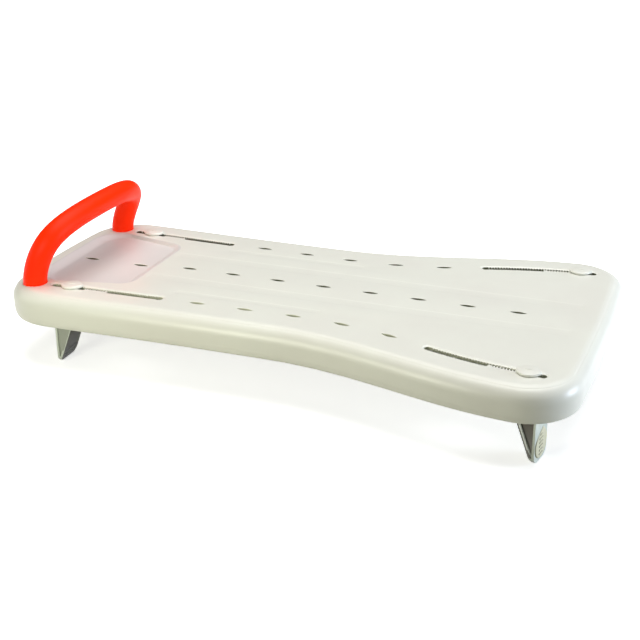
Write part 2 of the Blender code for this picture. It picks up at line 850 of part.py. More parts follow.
def pad_mesh():
    """A leaf-shaped grip pad with short ribs outside and two pegs that pass through the plate."""
    outline = leaf(pad_half_width, pad_top_drop, pad_widest_drop, pad_bottom_drop)
    back = plate_face - pad_seat_depth + gap
    mesh = facing_out(plate("pad", [outline], back, pad_face))
    grips = []
    for i in range(pad_rib_count):
        drop = pad_rib_first_drop + i * pad_rib_pitch
        reach = (pad_bottom_drop - drop) / (pad_bottom_drop - pad_widest_drop)
        half_width = pad_half_width * pad_rib_share * min(1.0, math.sqrt(reach))
        grips.append(rounded_box(half_width, -drop - pad_rib_wall / 2, -drop + pad_rib_wall / 2,
                                 pad_rib_radius, 1))
    ribs = facing_out(plate("ribs", grips, pad_face - sink, pad_face + pad_rib_height))
    mesh = combined(mesh, ribs, "UNION")
    peg = pegs(peg_radius, plate_face - plate_wall - peg_overrun, back + sink)
    return combined(mesh, peg, "UNION")


def key_mesh():
    """The latch key: teeth on both sides that rise into the rack, above a flange the spring pushes."""
    reach = key_teeth / 2 * tooth_pitch
    wall = teeth(-reach, reach, slot_root_half - tooth_gap, slot_tip_half - tooth_gap)
    outline = [(run, -across) for run, across in wall] + wall[::-1]
    slot = rectangle(-prong_half_length - gap, prong_half_length + gap,
                     -prong_half_width - gap, prong_half_width + gap)
    mesh = plate("key", [outline], key_flange_top - sink, key_top)
    flange = plate("flange", [rectangle(-flange_half_length, flange_half_length,
                                        -flange_half_width, flange_half_width)],
                   key_flange_bottom, key_flange_top)
    mesh = combined(mesh, flange, "UNION")
    return combined(mesh, plate("slot", [slot], key_flange_bottom - over, key_top + over), "DIFFERENCE")


def lens(half_length, half_width, scale, height, steps):
    """A pointed oval ring."""
    def reach(along):
        return half_width * (1 - along ** 2) ** cap_taper

    stops = [-math.cos(math.pi * share) for share in evenly(0, 1, steps)]
    near = [(along * half_length, -reach(along)) for along in stops[:-1]]
    far = [(along * half_length, reach(along)) for along in stops[:0:-1]]
    return [Vector((scale * x, scale * y, height)) for x, y in near + far]


def cap_mesh():
    """The knob's cap: a domed leaf with a small nib, and a stem whose split prongs clip into the key."""
    dome = [lens(cap_half_length, cap_half_width, scale, gap + share * cap_height, cap_steps)
            for scale, share in cap_levels]
    mesh = loft("cap", [dome])
    top = gap + cap_height
    nib = loft("nib", [[lens(nib_half_length, nib_half_width, 1.0, top - sink, nib_steps),
                        lens(nib_half_length, nib_half_width, 0.8, top + nib_height, nib_steps)]])
    stem_half = slot_tip_half - gap
    stem = stadium(-stem_half_length, stem_half_length, stem_half, 1.0)
    stem = plate("stem", [stem], key_top + gap, gap + sink)
    hook_top = key_flange_bottom - gap
    hook = prong_half_length + hook_overhang
    side = [(prong_split, hook_top - hook_wall), (prong_half_length - prong_split, hook_top - hook_wall),
            (hook, hook_top), (prong_half_length, hook_top), (prong_half_length, key_top + gap + sink),
            (prong_split, key_top + gap + sink)]
    prongs = facing_across(plate("prongs", [side, [(-x, y) for x, y in side]],
                                 -prong_half_width, prong_half_width))
    for piece in (nib, stem, prongs):
        mesh = combined(mesh, piece, "UNION")
    return mesh


def spring_mesh():
    """The latch spring: an open coil of round wire between its seat and the key's flange."""
    curve = bpy.data.curves.new("spring", "CURVE")
    curve.dimensions = "3D"
    curve.bevel_depth = spring_wire_radius
    curve.bevel_resolution = 2
    curve.use_fill_caps = True
    count = math.ceil(spring_turns * spring_turn_sides)
    spline = curve.splines.new("POLY")
    spline.points.add(count)
    low = spring_bottom + spring_wire_radius
    high = spring_top - spring_wire_radius
    for point, share in zip(spline.points, evenly(0, 1, count)):
        turn = 2 * math.pi * spring_turns * share
        point.co = (spring_radius * math.cos(turn), spring_radius * math.sin(turn),
                    low + (high - low) * share, 1)
    return baked(bpy.data.objects.new("spring", curve), "spring")


def arch_point(share):
    """A point on the handle's centre line, for a share from the near foot to the far foot."""
    side = -1 if share < 0.5 else 1
    step = 2 * share if share < 0.5 else 2 * (1 - share)
    weights = ((1 - step) ** 3, 3 * step * (1 - step) ** 2, 3 * step ** 2 * (1 - step), step ** 3)
    rise = arch_height - foot_straight
    across = (foot_y, foot_y, arch_shoulder_y, 0)
    up = (0, arch_shoulder_height - foot_straight, rise, rise)
    y = sum(weight * value for weight, value in zip(weights, across))
    height = sum(weight * value for weight, value in zip(weights, up))
    lean = arch_lean * (height / rise) ** arch_lean_power
    return (foot_x + lean, side * y, foot_straight + height)


def handle_mesh():
    """The grab handle: a round bar bent into a leaning arch, with a blind bore in each foot."""
    curve = bpy.data.curves.new("handle", "CURVE")
    curve.dimensions = "3D"
    curve.bevel_depth = tube_radius
    curve.bevel_resolution = 4
    curve.use_fill_caps = True
    foot_end = gap - socket_depth
    points = [arch_point(share) for share in evenly(0, 1, arch_steps)]
    points = [(foot_x, -foot_y, foot_end)] + points + [(foot_x, foot_y, foot_end)]
    spline = curve.splines.new("POLY")
    spline.points.add(len(points) - 1)
    for point, place in zip(spline.points, points):
        point.co = (*place, 1)
    mesh = baked(bpy.data.objects.new("handle", curve), "handle")
    feet = [(foot_x, side * foot_y) for side in sides.values()]
    radius = bolt_radius + gap
    bores = turned("bores", feet, ((radius, bolt_reach + gap), (radius, foot_end - over)), bore_sides)
    return combined(mesh, bores, "DIFFERENCE")


def washer_mesh():
    """A flat washer that lies below a boss."""
    top = underside - boss_depth - gap
    rings = [arc((0, 0), washer_radius, 0, 2 * math.pi, washer_sides)[:-1],
             arc((0, 0), bolt_radius + gap, 0, 2 * math.pi, bore_sides)[:-1]]
    return plate("washer", rings, top - washer_wall, top)


def bolt_mesh():
    """A headed bolt that runs up through a boss into the handle's foot."""
    head_top = underside - boss_depth - 2 * gap - washer_wall
    profile = ((bolt_radius, bolt_reach), (bolt_radius, head_top),
               (bolt_head_radius, head_top), (bolt_head_radius, head_top - bolt_head_height))
    return turned("bolt", [(0, 0)], profile, bore_sides)


def colour(code):
    """A display colour code as linear red, green and blue."""
    values = [int(code[i:i + 2], 16) / 255 for i in (1, 3, 5)]
    return [value / 12.92 if value <= 0.04045 else ((value + 0.055) / 1.055) ** 2.4 for value in values]


def material(name, code, roughness, metallic):
    """A plain surface of one colour."""
    surface = bpy.data.materials.new(name)
    surface.use_nodes = True
    shader = surface.node_tree.nodes["Principled BSDF"]
    shader.inputs["Base Color"].default_value = (*colour(code), 1)
    shader.inputs["Roughness"].default_value = roughness
    shader.inputs["Metallic"].default_value = metallic
    surface.diffuse_color = (*colour(code), 1)
    return surface


def add(board, name, mesh, surface, world, parent):
    """One named piece, placed in the world and tied to what carries it."""
    piece = bpy.data.objects.new(name, mesh)
    if not mesh.materials:
        mesh.materials.append(surface)
    board.objects.link(piece)
    parent_world = Matrix.Identity(4)
    if parent:
        piece.parent = parent[0]
        parent_world = parent[1]
    piece.matrix_basis = parent_world.inverted() @ world
    return piece


def smooth_round(mesh, angle):
    """Smooth shading with the sharp edges kept."""
    mesh.shade_smooth()
    mesh.set_sharp_from_angle(angle=angle)


def main():
    """Builds the whole board from an empty scene."""
    for stray in list(bpy.data.objects):
        bpy.data.objects.remove(stray)
    board = bpy.data.collections.new("bath_board")
    bpy.context.scene.collection.children.link(board)
    deck_level = Matrix.Translation((0, 0, foot_drop))

    deck = deck_mesh()
    handle = handle_mesh()
    bolt = bolt_mesh()
    washer = washer_mesh()
    pad = pad_mesh()
    key = key_mesh()
    cap = cap_mesh()
    spring = spring_mesh()
    left_leg = leg_mesh(left_track, 1)
    legs = {("left", 1): left_leg, ("left", -1): left_leg,
            ("right", 1): leg_mesh(right_track, 1), ("right", -1): leg_mesh(right_track, -1)}
    for mesh in (handle, bolt, washer, pad, cap, spring):
        smooth_round(mesh, math.radians(40))
    smooth_round(deck, math.radians(30))

    add(board, "deck", deck, material("deck_plastic", "#E6E7DD", 0.35, 0), deck_level, None)
    add(board, "handle", handle, material("handle_plastic", "#F23A0C", 0.4, 0), deck_level, None)
    bolt_surface = material("bolt_steel", "#B4B6B8", 0.3, 1)
    washer_surface = material("washer_steel", "#B4B6B8", 0.35, 1)
    for side_name, side in sides.items():
        foot = Matrix.Translation((foot_x, side * foot_y, foot_drop))
        add(board, "handle_bolt_" + side_name, bolt, bolt_surface, foot, None)
        add(board, "handle_washer_" + side_name, washer, washer_surface, foot, None)
    leg_surface = material("leg_plastic", "#C6D0C9", 0.45, 0)
    pad_surface = material("pad_rubber", "#D8D3C0", 0.7, 0)
    key_surface = material("key_plastic", "#AEB3AE", 0.4, 0)
    cap_surface = material("cap_plastic", "#E6E7DD", 0.35, 0)
    spring_surface = material("spring_steel", "#A9ABAD", 0.3, 1)

    for end, track in tracks.items():
        for side_name, side in sides.items():
            suffix = side_name + "_" + end
            spot = track.place(0, 0)
            turn = side * track.heading()
            hand = side if end == "right" else -side
            knob = Matrix.Translation((spot.x, side * spot.y, foot_drop)) @ Matrix.Rotation(turn, 4, "Z")
            pivot = None
            if track.radius:
                centre = track.centre()
                pivot_world = Matrix.Translation((centre.x, side * centre.y, foot_drop))
                empty = bpy.data.objects.new("slot_centre_" + suffix, None)
                board.objects.link(empty)
                empty.matrix_basis = pivot_world
                pivot = (empty, pivot_world)
            leg = add(board, "leg_" + suffix, legs[(end, hand)], leg_surface, knob, pivot)
            carried = (leg, knob)
            twist = Matrix.Rotation(leg_twist(track, hand), 4, "Z")
            add(board, "pad_" + suffix, pad, pad_surface, knob @ twist, carried)
            add(board, "latch_key_" + suffix, key, key_surface, knob, carried)
            add(board, "knob_cap_" + suffix, cap, cap_surface, knob, carried)
            add(board, "latch_spring_" + suffix, spring, spring_surface, knob, carried)


main()
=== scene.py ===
"""Bath board: a moulded deck with an orange grab handle and four sliding, latched legs.

Metres, with +X along the board towards its wide end, +Z up and the legs' feet on z = 0.
"""

import bmesh
import bpy
import numpy as np
from bpy.props import FloatProperty, IntProperty, PointerProperty, StringProperty
from bpy.types import Operator, Panel, PropertyGroup
from mathutils import Matrix, Vector
from mathutils.geometry import delaunay_2d_cdt


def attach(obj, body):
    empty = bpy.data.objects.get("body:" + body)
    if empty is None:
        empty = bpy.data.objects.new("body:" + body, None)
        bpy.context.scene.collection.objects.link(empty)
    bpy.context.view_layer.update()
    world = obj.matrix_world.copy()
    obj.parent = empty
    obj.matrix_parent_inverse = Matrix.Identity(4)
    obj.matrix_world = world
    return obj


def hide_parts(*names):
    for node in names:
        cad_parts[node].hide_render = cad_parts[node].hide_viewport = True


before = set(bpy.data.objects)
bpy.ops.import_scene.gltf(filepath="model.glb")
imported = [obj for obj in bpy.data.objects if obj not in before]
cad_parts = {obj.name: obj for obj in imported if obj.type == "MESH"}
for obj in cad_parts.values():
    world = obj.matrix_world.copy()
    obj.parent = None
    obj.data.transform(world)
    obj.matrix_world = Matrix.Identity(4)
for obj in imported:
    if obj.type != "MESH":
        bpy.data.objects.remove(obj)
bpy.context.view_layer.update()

bl_info = {
    "name": "Bath board",
    "version": (1, 0, 0),
    "blender": (4, 5, 0),
    "location": "3D View > Sidebar > Bath board",
    "description": "A moulded bath board with a grab handle and sliding, latched legs",
    "category": "Add Mesh",
}

# Levels and places of the moulding's features, seen from above
deck_top = 0.093
half_length = 0.3475
end_bow = 0.0027
waist_x = -0.042
flare_start_x = 0.002
flare_end_x = 0.302
skirt_draft = 0.0003

foot_x = -0.3084
foot_y = 0.101
foot_straight = 0.003
arch_shoulder_height = 0.0518
arch_shoulder_y = 0.1097
arch_lean = 0.031
arch_lean_power = 1.44
socket_radius = 0.0140
socket_depth = 0.003
bolt_hole_radius = 0.0028
boss_bottom = deck_top - 0.004 - 0.016
washer_thickness = 0.001
gap = 0.0003  # Clearance between pieces

tray_inner_x = -0.2031
tray_outer_x = -0.3081
tray_inner_half_width = 0.070
tray_outer_half_width = 0.082
tray_inner_radius = 0.018
tray_outer_radius = 0.030
tray_border = 0.0006
tray_side_slope = 0.003
tray_end_slope = 0.015
tray_inner_slope = 0.011

drain_first_x = -0.1581
drain_pitch = 0.058
middle_drain_count = 8
outer_drains = ((-0.1001, 0.0943), (-0.0421, 0.0927), (0.0159, 0.0914), (0.0739, 0.0948),
                (0.1319, 0.1060))
tray_drain_x = (-0.2251, -0.2931)

# Slots: inner end, outer end, bow, and how far the knob stands from the outer end
slots = {"left": ((-0.1437, 0.0946), (-0.2861, 0.0989), 0.0, 0.0270),
         "right": ((0.1759, 0.1203), (0.3099, 0.1465), 0.0045, 0.0213)}
slot_root = 0.0039
slot_tip = 0.0030
left_cap_share = 0.44  # The left caps shift less, so that they pass the handle's feet

# Faint channels in the seat: where each starts and ends along the board, and its two edges
channels = ((-0.195, 0.313, 0.0285, 0.0455), (-0.139, 0.040, 0.0675, 0.0770))
channel_corner = 0.0035

# Legs: depths are below the deck's top, distances outwards of the knob
right_leg_angle = 0.174533
plate_face = 0.0175
plate_forwards = 0.0018
leg_half_width = 0.0150
leg_widening = 0.13
fold_top = 0.030
skirt_level = 0.037
flange_set_back = 0.0029
strip_ends = {"left": (-0.0430, -0.0150), "right": (-0.0405, -0.0092)}
# Depths below the deck's top where the painted shade inside the legs is full and where it ends
painted_shade_full_depth = 0.038
painted_shade_none_depth = 0.078

# Pads: depths of their tip, widest place and foot, and how they lean
pad_tip = 0.0565
pad_widest = 0.0745
pad_foot = 0.0905
pad_middle = 0.0765
pad_thickness = 0.0025
pad_shift = 0.0010
pad_lean = 0.0035

weld = 0.000004  # Points closer than this become one
sides = {"near": -1, "far": 1}

# A face's material, by its place in the tuple that the operator hands over
# dark is painted shade in the holes, near_dark a lighter copy of it painted light for the near
# side, and tray the tray's finish, greyer as painted shade
skin, dark, tray, near_dark = range(4)
# fold, in_slot and side_wall are painted shade on the legs, and band is a painted highlight
outside, fold, in_slot, side_wall, band = range(5)
# pad_edge is painted shade on the pads' edges and ribs
pad_face, pad_edge = range(2)


def length(name, description, default):
    """A length that a user may change."""
    return FloatProperty(name=name, description=description, default=default, unit="LENGTH")


def power(name, description, default):
    """A lamp's power that a user may change."""
    return FloatProperty(name=name, description=description, default=default, unit="POWER")


def colour(name, description, default):
    """An sRGB colour code that a user may change."""
    return StringProperty(name=name, description=description, default=default)


class DeckShape(PropertyGroup):
    """Sizes of the moulded deck."""
    left_half_width: length("Left half width", "Half the width of the handle's end", 0.141)
    waist_half_width: length("Waist half width", "Half the width at the waist", 0.1362)
    right_half_width: length("Right half width", "Half the width of the wide end", 0.1875)
    left_corner: length("Left corner", "Corner radius at the handle's end", 0.065)
    right_corner: length("Right corner", "Corner radius at the wide end", 0.0595)
    rim_radius: length("Rim radius", "Radius of the rolled rim", 0.017)
    skirt_depth: length("Skirt depth", "Height of the skirt, rim included", 0.037)
    lower_edge_radius: length("Lower edge", "How far the skirt's lower edge turns in", 0.003)
    lower_edge_height: length("Lower edge height", "Height of the turned-in lower edge", 0.010)
    wall: length("Wall", "Wall thickness", 0.004)
    tray_depth: length("Tray depth", "Depth of the soap tray", 0.0043)
    channel_depth: length("Channel depth", "Depth of the faint channels in the seat", 0.00021)
    drain_length: length("Drain length", "Length of a drain hole", 0.020)
    drain_width: length("Drain width", "Width of a drain hole", 0.0052)
    tooth_pitch: length("Tooth pitch", "Distance between the slots' teeth", 0.0033)


class HandleShape(PropertyGroup):
    """Sizes of the grab handle."""
    foot_radius: length("Foot radius", "Radius of the bar at its feet", 0.01385)
    top_radius: length("Top radius", "Radius of the bar at the top of the arch", 0.01355)
    arch_height: length("Arch height", "Height of the bar's centre above the deck", 0.0699)


class KnobShape(PropertyGroup):
    """Sizes of the leaf-shaped knob caps."""
    half_length: length("Half length", "Half the cap's length", 0.0135)
    half_width: length("Half width", "Half the cap's width", 0.0115)
    height: length("Height", "Height of the cap above the deck", 0.0040)
    outwards: length("Outwards", "How far outwards of its stem a right cap lies", 0.0025)


class PadShape(PropertyGroup):
    """Sizes of the grip pads."""
    half_width: length("Half width", "Half the pad's width", 0.0150)
    edge_radius: length("Edge radius", "Radius of the pad's front edge", 0.0009)
    rib_height: length("Rib height", "How far the grip ribs stand out", 0.0006)
    rib_count: IntProperty(name="Ribs", description="Number of grip ribs", default=6)


class Finishes(PropertyGroup):
    """Surface colours as sRGB codes."""
    deck: colour("Deck", "Off-white of the deck and the caps", "#E4E5DB")
    handle: colour("Handle", "Orange-red of the handle", "#FF2C01")
    # well is painted shade in the holes and slots; slot is a lighter copy of it, painted light for
    # the near side
    well: colour("Holes", "Dark olive inside the holes and slots", "#787A64")
    slot: colour("Near slots", "Lighter olive inside the near slots and drains", "#D2D4BC")
    # The tray's grey is painted shade in the recess
    tray: colour("Tray", "Pale grey of the soap tray", "#D9D9D6")
    leg: colour("Legs", "Pale grey-green of the legs", "#DEE5DB")
    # inside and side are painted shade on the legs; band is a painted highlight
    inside: colour("Inside of the legs", "Grey-brown inside the fold", "#9A9899")
    side: colour("Sides of the left legs", "Duller grey-green of the side walls", "#ADB2A8")
    band: colour("Bands of the right legs", "Paler, cooler grey of the side bands", "#F4F8F8")
    # edge is painted shade on the pads' edges and ribs
    edge: colour("Pad edges", "Dark beige of the pads' edges", "#B3AD92")
    pad: colour("Pads", "Warm beige of the grip pads", "#EDE9CC")
    latch: colour("Latches", "Grey of the latch keys", "#AEB3AE")
    steel: colour("Steel", "Stainless steel of the bolts, washers and springs", "#C3C4C6")


class StageSettings(PropertyGroup):
    """Camera, lamps and floor."""
    azimuth: FloatProperty(name="Azimuth", default=19.471,
                           description="Where the camera stands round the board, in degrees")
    elevation: FloatProperty(name="Elevation", default=21.844,
                             description="Camera's angle above the horizon, in degrees")
    distance: length("Distance", "Camera's distance from its target", 1.4163)
    lens: FloatProperty(name="Lens", description="Focal length in millimetres", default=67.635)
    key_power: power("Key lamp", "Power of the wide lamp overhead", 21.0)
    top_power: power("Top lamp", "Power of the smaller lamp high above", 12.6)
    front_power: power("Front lamp", "Power of the low lamp at the near left", 2.0)
    middle_power: power("Middle lamp", "Power of the low lamp before the waist", 0.35)
    corner_power: power("Corner lamp", "Power of the low lamp at the near right", 0.9)
    left_power: power("Left lamp", "Power of the low lamp at the handle's end", 0.75)
    side_power: power("Side lamp", "Power of the low, cool lamp at the right", 24.0)


class BathBoardSettings(PropertyGroup):
    """Everything that a user may change."""
    deck: PointerProperty(type=DeckShape)
    handle: PointerProperty(type=HandleShape)
    knob: PointerProperty(type=KnobShape)
    pad: PointerProperty(type=PadShape)
    finish: PointerProperty(type=Finishes)
    stage: PointerProperty(type=StageSettings)


# Moulded finishes by the colour they start from: material name, tint, grain's size and depth in mm,
# roughness and its drift, clouds' size in mm, how far they reach the tint, and IOR
moulded = {
    # ABS: a satin skin whose fine mould grain softens the lamps' reflections
    "deck": ("moulded_abs_off_white", "#DEDDD4", 1.4, 0.010, 0.34, 0.04, 90, 0.6, 1.53),
    # ABS left rough by the mould's cores, in a dark olive that is painted shade, so that openings
    # read as dark lines
    "well": ("moulded_abs_in_the_holes", "#6C6E5A", 0.9, 0.020, 0.60, 0.04, 12, 0.6, 1.40),
    # The same rough ABS in a lighter olive: painted light on the near slots' and drains' far walls
    "slot": ("moulded_abs_in_the_near_slots", "#C8CAB2", 0.9, 0.020, 0.60, 0.04, 12, 0.6, 1.40),
    # ABS with a finer, matt spark-eroded texture, a little greyer as painted shade in the recess
    "tray": ("moulded_abs_tray", "#D0D0CE", 0.9, 0.014, 0.45, 0.04, 70, 0.5, 1.53),
    # Nylon: nearly matt, with a finer grain than the deck's
    "leg": ("moulded_nylon_grey_green", "#D2DAD0", 1.0, 0.012, 0.46, 0.05, 30, 0.6, 1.53),
    # Nylon from an unpolished mould, dull grey as painted shade, and browner towards the top as
    # painted shade under the skirt
    "inside": ("moulded_nylon_inside", "#8F8D8C", 1.0, 0.020, 0.62, 0.04, 20, 0.6, 1.45),
    # Nylon on the left legs' side walls: rougher, and greyer as painted shade
    "side": ("moulded_nylon_side", "#A2A79C", 1.0, 0.016, 0.56, 0.04, 20, 0.6, 1.45),
    # Nylon on the right legs' bands: smoother, and paler and cooler as a painted highlight
    "band": ("moulded_nylon_band", "#EAF0F0", 1.0, 0.008, 0.36, 0.04, 20, 0.6, 1.53),
    # Thermoplastic elastomer: matt and slightly grippy, with a coarse soft grain
    "pad": ("moulded_elastomer_beige", "#E4DFC0", 0.8, 0.030, 0.66, 0.05, 14, 0.7, 1.50),
    # The same elastomer, darker on edges and flanks as painted shade, so it outlines them
    "edge": ("moulded_elastomer_edge", "#A69F85", 0.8, 0.020, 0.70, 0.04, 10, 0.6, 1.45),
    # Polypropylene with a waxy skin and a faint emission: a painted glow that evens out its light
    "handle": ("moulded_polypropylene_orange", "#FA2801", 1.2, 0.012, 0.46, 0.04, 60, 0.6, 1.42),
    # Acetal: smooth and slippery, so the latch slides
    "latch": ("moulded_acetal_grey", "#A6ABA6", 0.9, 0.006, 0.36, 0.03, 12, 0.5, 1.48),
}


def settings():
    """The scene's bath board settings."""
    return bpy.context.scene.bath_board


def placed(name, data):
    """A new object with its data, in the scene."""
    made = bpy.data.objects.new(name, data)
    bpy.context.scene.collection.objects.link(made)
    return made


def linear(code):
    """An sRGB code such as #E4E5DB as linear red, green, blue and full alpha."""
    value = np.array([int(code[i:i + 2], 16) / 255 for i in (1, 3, 5)])
    value = np.where(value <= 0.04045, value / 12.92, ((value + 0.055) / 1.055) ** 2.4)
    return (*value, 1.0)


def add_node(tree, kind, inputs=None, **values):
    """Adds a node, sets its values, and sets or links its inputs."""
    made = tree.nodes.new(kind)
    for name, value in values.items():
        setattr(made, name, value)
    for name, value in (inputs or {}).items():
        if isinstance(value, bpy.types.NodeSocket):
            tree.links.new(value, made.inputs[name])
        else:
            made.inputs[name].default_value = value
    return made


def fresh_tree(owner):
    """The emptied node tree of a material or of the world."""
    owner.use_nodes = True
    owner.node_tree.nodes.clear()
    return owner.node_tree


def new_material(name):
    """A material, its tree and its shader joined to the output; no tree if it was there before."""
    material = bpy.data.materials.get(name)
    if material:
        return material, None, None
    material = bpy.data.materials.new(name)
    tree = fresh_tree(material)
    shader = add_node(tree, "ShaderNodeBsdfPrincipled")
    add_node(tree, "ShaderNodeOutputMaterial", {"Surface": shader.outputs[0]})
    return material, tree, shader


def plastic(key):
    """A moulded finish: colour that drifts a little towards a tint in wide soft clouds, roughness
    that follows the clouds, and fine moulding grain as bump."""
    name, tint, grain_mm, depth_mm, roughness, drift, cloud_mm, tint_share, ior = moulded[key]
    material, tree, shader = new_material(name)
    if not tree:
        return material
    place = add_node(tree, "ShaderNodeTexCoord").outputs["Object"]
    clouds = add_node(tree, "ShaderNodeTexNoise",
                      {"Vector": place, "Scale": 1000 / cloud_mm, "Detail": 3.0,
                       "Roughness": 0.5}).outputs["Fac"]
    share = add_node(tree, "ShaderNodeMapRange",
                     {"Value": clouds, "From Min": 0.35, "From Max": 0.7, "To Min": 0.0,
                      "To Max": tint_share}, interpolation_type="SMOOTHSTEP")
    start = linear(getattr(settings().finish, key))
    mixed = add_node(tree, "ShaderNodeMix", {0: share.outputs[0], 6: start, 7: linear(tint)},
                     data_type="RGBA").outputs[2]
    # Inside the legs: painted shade, darker and browner towards the top under the skirt
    if key == "inside":
        height = add_node(tree, "ShaderNodeSeparateXYZ", {"Vector": place}).outputs["Z"]
        share = add_node(tree, "ShaderNodeMapRange",
                         {"Value": height, "From Min": deck_top - painted_shade_none_depth,
                          "From Max": deck_top - painted_shade_full_depth})
        mixed = add_node(tree, "ShaderNodeMix",
                         {0: share.outputs[0], 6: mixed, 7: linear("#7F7456")},
                         data_type="RGBA", blend_type="MULTIPLY").outputs[2]
    rough = add_node(tree, "ShaderNodeMapRange",
                     {"Value": clouds, "From Min": 0.3, "From Max": 0.7,
                      "To Min": roughness - drift, "To Max": roughness + drift})
    grain = add_node(tree, "ShaderNodeTexNoise",
                     {"Vector": place, "Scale": 1000 / grain_mm, "Detail": 2.0,
                      "Roughness": 0.55}).outputs["Fac"]
    bump = add_node(tree, "ShaderNodeBump",
                    {"Height": grain, "Strength": 1.0, "Distance": depth_mm / 1000})
    for socket, value in (("Base Color", mixed), ("Roughness", rough.outputs[0]),
                          ("Normal", bump.outputs[0])):
        tree.links.new(value, shader.inputs[socket])
    shader.inputs["IOR"].default_value = ior
    # The handle's emission is a painted glow
    if key == "handle":
        shader.inputs["Specular IOR Level"].default_value = 0.16
        shader.inputs["Emission Color"].default_value = linear("#FF2E00")
        shader.inputs["Emission Strength"].default_value = 0.24
    return material


def stainless_steel():
    """Turned and drawn stainless steel: bright, with fine scratches that vary its roughness."""
    material, tree, shader = new_material("stainless_steel")
    if tree:
        place = add_node(tree, "ShaderNodeTexCoord").outputs["Object"]
        marks = add_node(tree, "ShaderNodeTexNoise",
                         {"Vector": place, "Scale": 1000 / 0.6, "Detail": 4.0,
                          "Roughness": 0.7}).outputs["Fac"]
        rough = add_node(tree, "ShaderNodeMapRange",
                         {"Value": marks, "To Min": 0.20, "To Max": 0.38})
        tree.links.new(rough.outputs[0], shader.inputs["Roughness"])
        bump = add_node(tree, "ShaderNodeBump",
                        {"Height": marks, "Strength": 1.0, "Distance": 0.000008})
        tree.links.new(bump.outputs[0], shader.inputs["Normal"])
        shader.inputs["Base Color"].default_value = linear(settings().finish.steel)
        shader.inputs["Metallic"].default_value = 1.0
    return material


def loft(rings, finish=0, wrap_rows=False):
    """A patch from closed rings: its points, a quad between each four neighbours, and each face's
    material."""
    rings = np.asarray(rings)
    rows, columns = rings.shape[:2]
    index = np.arange(rows * columns).reshape(rows, columns)
    if wrap_rows:
        index = np.vstack((index, index[:1]))
    index = np.hstack((index, index[:, :1]))
    quads = np.stack((index[:-1, :-1], index[:-1, 1:], index[1:, 1:], index[1:, :-1]), -1)
    return rings.reshape(-1, 3), quads.reshape(-1, 4), finish


def smoothed(work, mesh, angle):
    """Puts the worked mesh back and shades it smooth, but for edges past an angle in degrees."""
    work.to_mesh(mesh)
    work.free()
    mesh.shade_smooth()
    mesh.set_sharp_from_angle(angle=np.radians(angle))
    return mesh


def mesh_from(name, patches, smooth_angle, outwards=(0, 0, 1)):
    """One mesh from patches: doubles merged, normals made consistent and then turned so that the
    part furthest outwards faces outwards."""
    points, faces, finishes, first = [], [], [], 0
    for patch_points, patch_faces, finish in patches:
        points.append(patch_points)
        faces.extend((np.asarray(patch_faces) + first).tolist())
        finishes.append(np.broadcast_to(finish, len(patch_faces)))
        first += len(patch_points)
    mesh = bpy.data.meshes.new(name)
    mesh.from_pydata(np.concatenate(points), [], faces)
    mesh.polygons.foreach_set("material_index", np.concatenate(finishes).astype(np.int32))
    work = bmesh.new()
    work.from_mesh(mesh)
    bmesh.ops.remove_doubles(work, verts=work.verts, dist=weld)
    bmesh.ops.dissolve_degenerate(work, edges=work.edges, dist=weld / 2)
    bmesh.ops.recalc_face_normals(work, faces=work.faces)
    direction = Vector(outwards)
    furthest = max(work.faces, key=lambda face: face.calc_center_median().dot(direction))
    if furthest.normal.dot(direction) < 0:
        bmesh.ops.reverse_faces(work, faces=work.faces)
    return smoothed(work, mesh, smooth_angle)


def add_piece(name, mesh, materials, body, node):
    """A finished piece at the origin, with its materials, that rides on a body in place of its
    CAD node."""
    piece = placed(name, mesh)
    for material in materials:
        mesh.materials.append(material)
    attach(piece, body)
    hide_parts(node)
    return piece


def from_row(rings, first, before, after):
    """The material of each face between rings: one before a row and another from it on."""
    return np.repeat(np.where(np.arange(len(rings) - 1) < first, before, after), len(rings[0]))


def dress_node(name, material):
    """A CAD node whose shape stays, with a better finish."""
    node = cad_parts[name]
    if not node.material_slots:
        node.data.materials.append(material)
    for place in node.material_slots:
        place.material = material


def read_threes(items, attribute, kind=float):
    """A mesh's points, corners or the like, as rows of three."""
    values = np.empty(len(items) * 3, kind)
    items.foreach_get(attribute, values)
    return values.reshape(-1, 3)


def node_triangles(name):
    """A CAD node's points, and the numbers of each triangle's corners."""
    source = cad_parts[name].data
    source.calc_loop_triangles()
    return read_threes(source.vertices, "co"), read_threes(source.loop_triangles, "vertices", int)


def raised_cosine(share):
    """A smooth step from 0 to 1."""
    return (1 - np.cos(np.pi * np.clip(share, 0, 1))) / 2


def unit(vectors):
    """Vectors of length one in the same directions."""
    return vectors / np.maximum(np.linalg.norm(vectors, axis=-1, keepdims=True), 1e-12)


def full_turn(count):
    """Angles spaced evenly round a circle."""
    return np.linspace(0, 2 * np.pi, count, endpoint=False)


def outward(outline):
    """Unit normals of a closed outline, to the right of the way that it runs."""
    ahead = np.roll(outline, -1, 0) - np.roll(outline, 1, 0)
    return unit(np.stack((ahead[:, 1], -ahead[:, 0]), -1))


def side_half_width(x, deck):
    """Half the board's width along its length: one smooth step in to the waist, another out to
    the wide end."""
    inwards = raised_cosine((x + half_length) / (waist_x + half_length))
    outwards = raised_cosine((x - flare_start_x) / (flare_end_x - flare_start_x))
    left = deck.left_half_width + (deck.waist_half_width - deck.left_half_width) * inwards
    right = deck.waist_half_width + (deck.right_half_width - deck.waist_half_width) * outwards
    return np.where(x < waist_x, left, right)


def arc(centre, radius, first, last, count):
    """Points of an arc about a centre."""
    turn = np.linspace(first, last, count)
    return np.stack((centre[0] + radius * np.cos(turn), centre[1] + radius * np.sin(turn)), -1)


